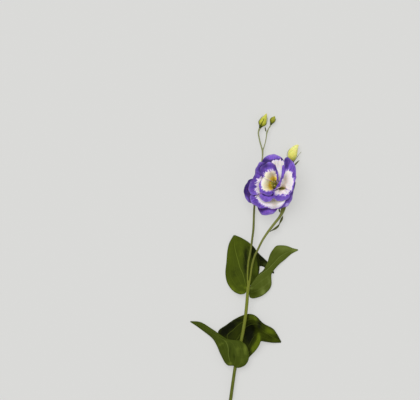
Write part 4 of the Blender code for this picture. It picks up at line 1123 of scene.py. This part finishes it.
bloomCalyx = {
    "foot": 9.4,
    "footRadius": 2.6,
    "sepals": 5,
    "firstAngle": 54,
    "bulge": 1.3,
    "rows": 12,
    "sepal": ((3.6, 10.3), (8.5, 11.3), (13, 13.4), (17, 15.9)),    # distance from the middle, height
    "halfWidth": 1.0,
    "thickness": 0.4,
    "tones": ((104, 112, 36), (92, 98, 40)),
    "side": ((92, 102, 30), (116, 124, 46)),
    "top": ((92, 90, 14), (136, 130, 36)),
}


def cupFinish():
    # green outside, olive on top where the throat opens
    finish = Finish("receptacle", Specular_IOR_Level=0.2)
    cloud = finish.noise(finish.place(), 300)
    side, top = (finish.mix(cloud, *bloomCalyx[key]) for key in ("side", "top"))
    level = [(bloom["seatHeight"] - under) * mm for under in (0.25, 0.1)]
    finish.feed(Base_Color=finish.mix(finish.step(finish.place(2), *level), side, top))
    finish.relief(cloud, 0.1)
    return finish


def addBloomCalyx():
    x, y = bloom["middle"]
    foot, footRadius = bloomCalyx["foot"], bloomCalyx["footRadius"]
    rise, spread = bloom["seatHeight"] - foot, bloom["seatRadius"] - footRadius
    cup = [(x, y, foot + rise * t, footRadius + spread * t ** bloomCalyx["bulge"])
           for t in np.linspace(0, 1, bloomCalyx["rows"])]
    green = sepalFinish("bloomSepal", *bloomCalyx["tones"])
    olive = cupFinish()
    parts = [(tubeMesh("cup", [cup], sides=40), olive)]
    for number in range(bloomCalyx["sepals"]):
        out = heading(bloomCalyx["firstAngle"] + 360 / bloomCalyx["sepals"] * number)
        points = [np.array((x, y, height)) + out * reach for reach, height in bloomCalyx["sepal"]]
        blade = strip("sepal", points, (0, 0, -1), bloomCalyx["halfWidth"], bloomCalyx["thickness"])
        parts.append((blade, green))
    addPiece("bloom_calyx", joined("bloom_calyx", parts), [olive, green], "calyx")
    print("calyx cupped")


addBloomCalyx()

stamens = {
    "angles": [40, 105, 175, 245, 310],
    "spread": (1.85, 3.1),
    "lean": (-4.8, 3.6),        # of the tops, towards the upper left
    "foot": 12.1,
    "antherFoot": 30.5,
    "antherTop": 35.0,
    "filamentRadius": 0.28,
    "antherRadius": 1.1,
    "antherFlatness": 0.7,
    "antherGroove": 0.22,
    "filament": ((170, 160, 70), (206, 196, 110)),
    "pollen": ((196, 132, 20), (236, 184, 60)),
}
pistil = {
    "foot": (-1.2, 1.0),        # from the bloom's middle
    "ovary": ((12.1, 0.8, 0), (13, 1.15, 0), (16, 1.3, 0.05), (19, 1.2, 0.2), (21.5, 0.8, 0.35),
              (23, 0.5, 0.5), (33.3, 0.5, 1)),              # height, radius, share of the stamens' lean
    "lobeFoot": (0.62, 0.2, 33),
    "lobeTop": (0.75, 0.25, 36),
    "lobeRadius": 1.1,
    "green": ((110, 120, 24), (150, 152, 44)),
    "stigma": ((150, 138, 30), (196, 184, 66)),
}


def speckled(name, tones, scale, depth):
    # a faint glow in its own colour: painted light in the throat's shade
    finish = Finish(name, Roughness=0.7, Emission_Strength=0.2)
    grain = finish.noise(finish.place(), scale, 3)
    colour = finish.mix(finish.step(grain, 0.35, 0.65), *tones)
    finish.feed(Base_Color=colour, Emission_Color=colour)
    finish.relief(grain, depth, 0.8)
    return finish


def antherMesh(name, foot, top, radius):
    # a pollen sac with a groove down each side
    shape = bmesh.new()
    bmesh.ops.create_uvsphere(shape, u_segments=28, v_segments=20, radius=1)
    way = Vector(top) - Vector(foot)
    side = way.orthogonal().normalized()
    up = way.normalized().cross(side)
    middle = (Vector(foot) + Vector(top)) / 2 - Vector(plantCentre)
    for vertex in shape.verts:
        angle = math.atan2(vertex.co.y, vertex.co.x)
        groove = 1 - stamens["antherGroove"] * math.cos(angle) ** 8
        x, y, z = vertex.co.x * groove * stamens["antherFlatness"], vertex.co.y * groove, vertex.co.z
        vertex.co = (middle + side * x * radius + up * y * radius + way * (z / 2)) * mm
    bmesh.ops.recalc_face_normals(shape, faces=shape.faces)
    return meshFrom(shape, name)


def onStamen(centre, out, height):
    # a point of the stamen that leans away from the throat's middle in one direction
    rise = (height - stamens["foot"]) / (stamens["antherTop"] - stamens["foot"])
    near, far = stamens["spread"]
    lean = np.array((*stamens["lean"], height)) * (rise**1.5, rise**1.5, 1)
    return (*centre, 0) + lean + out * (near + (far - near) * rise)


def addThroat():
    centre = np.add(bloom["middle"], pistil["foot"])
    filament = speckled("filament", stamens["filament"], 400, 0.05)
    pollen = speckled("pollen", stamens["pollen"], 2200, 0.2)
    for number, degrees in enumerate(stamens["angles"], 1):
        out = heading(degrees)
        line = [(*onStamen(centre, out, height), stamens["filamentRadius"])
                for height in np.linspace(stamens["foot"], stamens["antherFoot"] + 1, 12)]
        ends = [onStamen(centre, out, stamens[key]) for key in ("antherFoot", "antherTop")]
        parts = [(tubeMesh("filament", [line], sides=10), filament),
                 (antherMesh("anther", *ends, stamens["antherRadius"]), pollen)]
        addPiece(f"stamen_{number}", joined("stamen", parts), [filament, pollen], "anther")
    green = speckled("pistilGreen", pistil["green"], 300, 0.08)
    fuzz = speckled("stigma", pistil["stigma"], 1600, 0.2)
    ovary = [(*(centre + np.array(stamens["lean"]) * share), height, radius)
             for height, radius, share in pistil["ovary"]]
    parts = [(tubeMesh("ovary", [smoothLine(ovary, 50)], sides=20), green)]
    for way in (-1, 1):
        ends = [(*(centre + stamens["lean"] + np.array((x, y)) * way), height)
                for x, y, height in (pistil["lobeFoot"], pistil["lobeTop"])]
        parts.append((antherMesh("lobe", *ends, pistil["lobeRadius"]), fuzz))
    addPiece("pistil", joined("pistil", parts), [green, fuzz], "pistil")
    print("throat set")


addThroat()

studio = {
    "floor": (218, 218, 216),
    "glow": 0.65,                     # share of the floor's light that is its own, so that shadows stay soft
    "floorSide": 6.0,
    "sky": 0.34,
    "lamps": {                        # turn, strength, spread
        "keyLight": ((-20, -14, 0), 2.05, 50),
        "fillLight": ((12, 40, 0), 0.3, 60),
    },
    "aim": (-0.0449, 0.0883, 0.02),   # middle of the picture
    "width": 0.525,                   # of what the picture takes in there, in metres
    "distance": 3.2,
    "sensor": 36,
}


def addFloor():
    pale = paint(*studio["floor"])
    dimmed = [value * (1 - studio["glow"]) for value in pale[:3]] + [1]
    finish = Finish("paleFloor", Roughness=0.9, Specular_IOR_Level=0.0, Base_Color=dimmed,
                    Emission_Color=pale, Emission_Strength=studio["glow"])
    shape = bmesh.new()
    bmesh.ops.create_grid(shape, x_segments=1, y_segments=1, size=studio["floorSide"] / 2)
    mesh = meshFrom(shape, "floor")
    mesh.materials.append(finish.material)
    floor = addObject("floor", mesh)


def addLights():
    world = bpy.data.worlds.new("softRoom")
    bpy.context.scene.world = world
    world.use_nodes = True
    background = world.node_tree.nodes["Background"]
    background.inputs["Color"].default_value = (1, 1, 1, 1)
    background.inputs["Strength"].default_value = studio["sky"]
    for name, (turn, strength, spread) in studio["lamps"].items():
        lamp = bpy.data.lights.new(name, "SUN")
        lamp.energy = strength
        lamp.angle = math.radians(spread)
        addObject(name, lamp).rotation_euler = [math.radians(degrees) for degrees in turn]


def addCamera():
    camera = bpy.data.cameras.new("camera")
    camera.sensor_width = studio["sensor"]
    camera.lens = studio["sensor"] * studio["distance"] / studio["width"]
    camera.clip_end = 20
    view = addObject("camera", camera)
    x, y, z = studio["aim"]
    view.location = (x, y, z + studio["distance"])
    bpy.context.scene.camera = view
    bpy.context.scene.view_settings.view_transform = "Standard"


addFloor()
addLights()
addCamera()
print("studio lit")
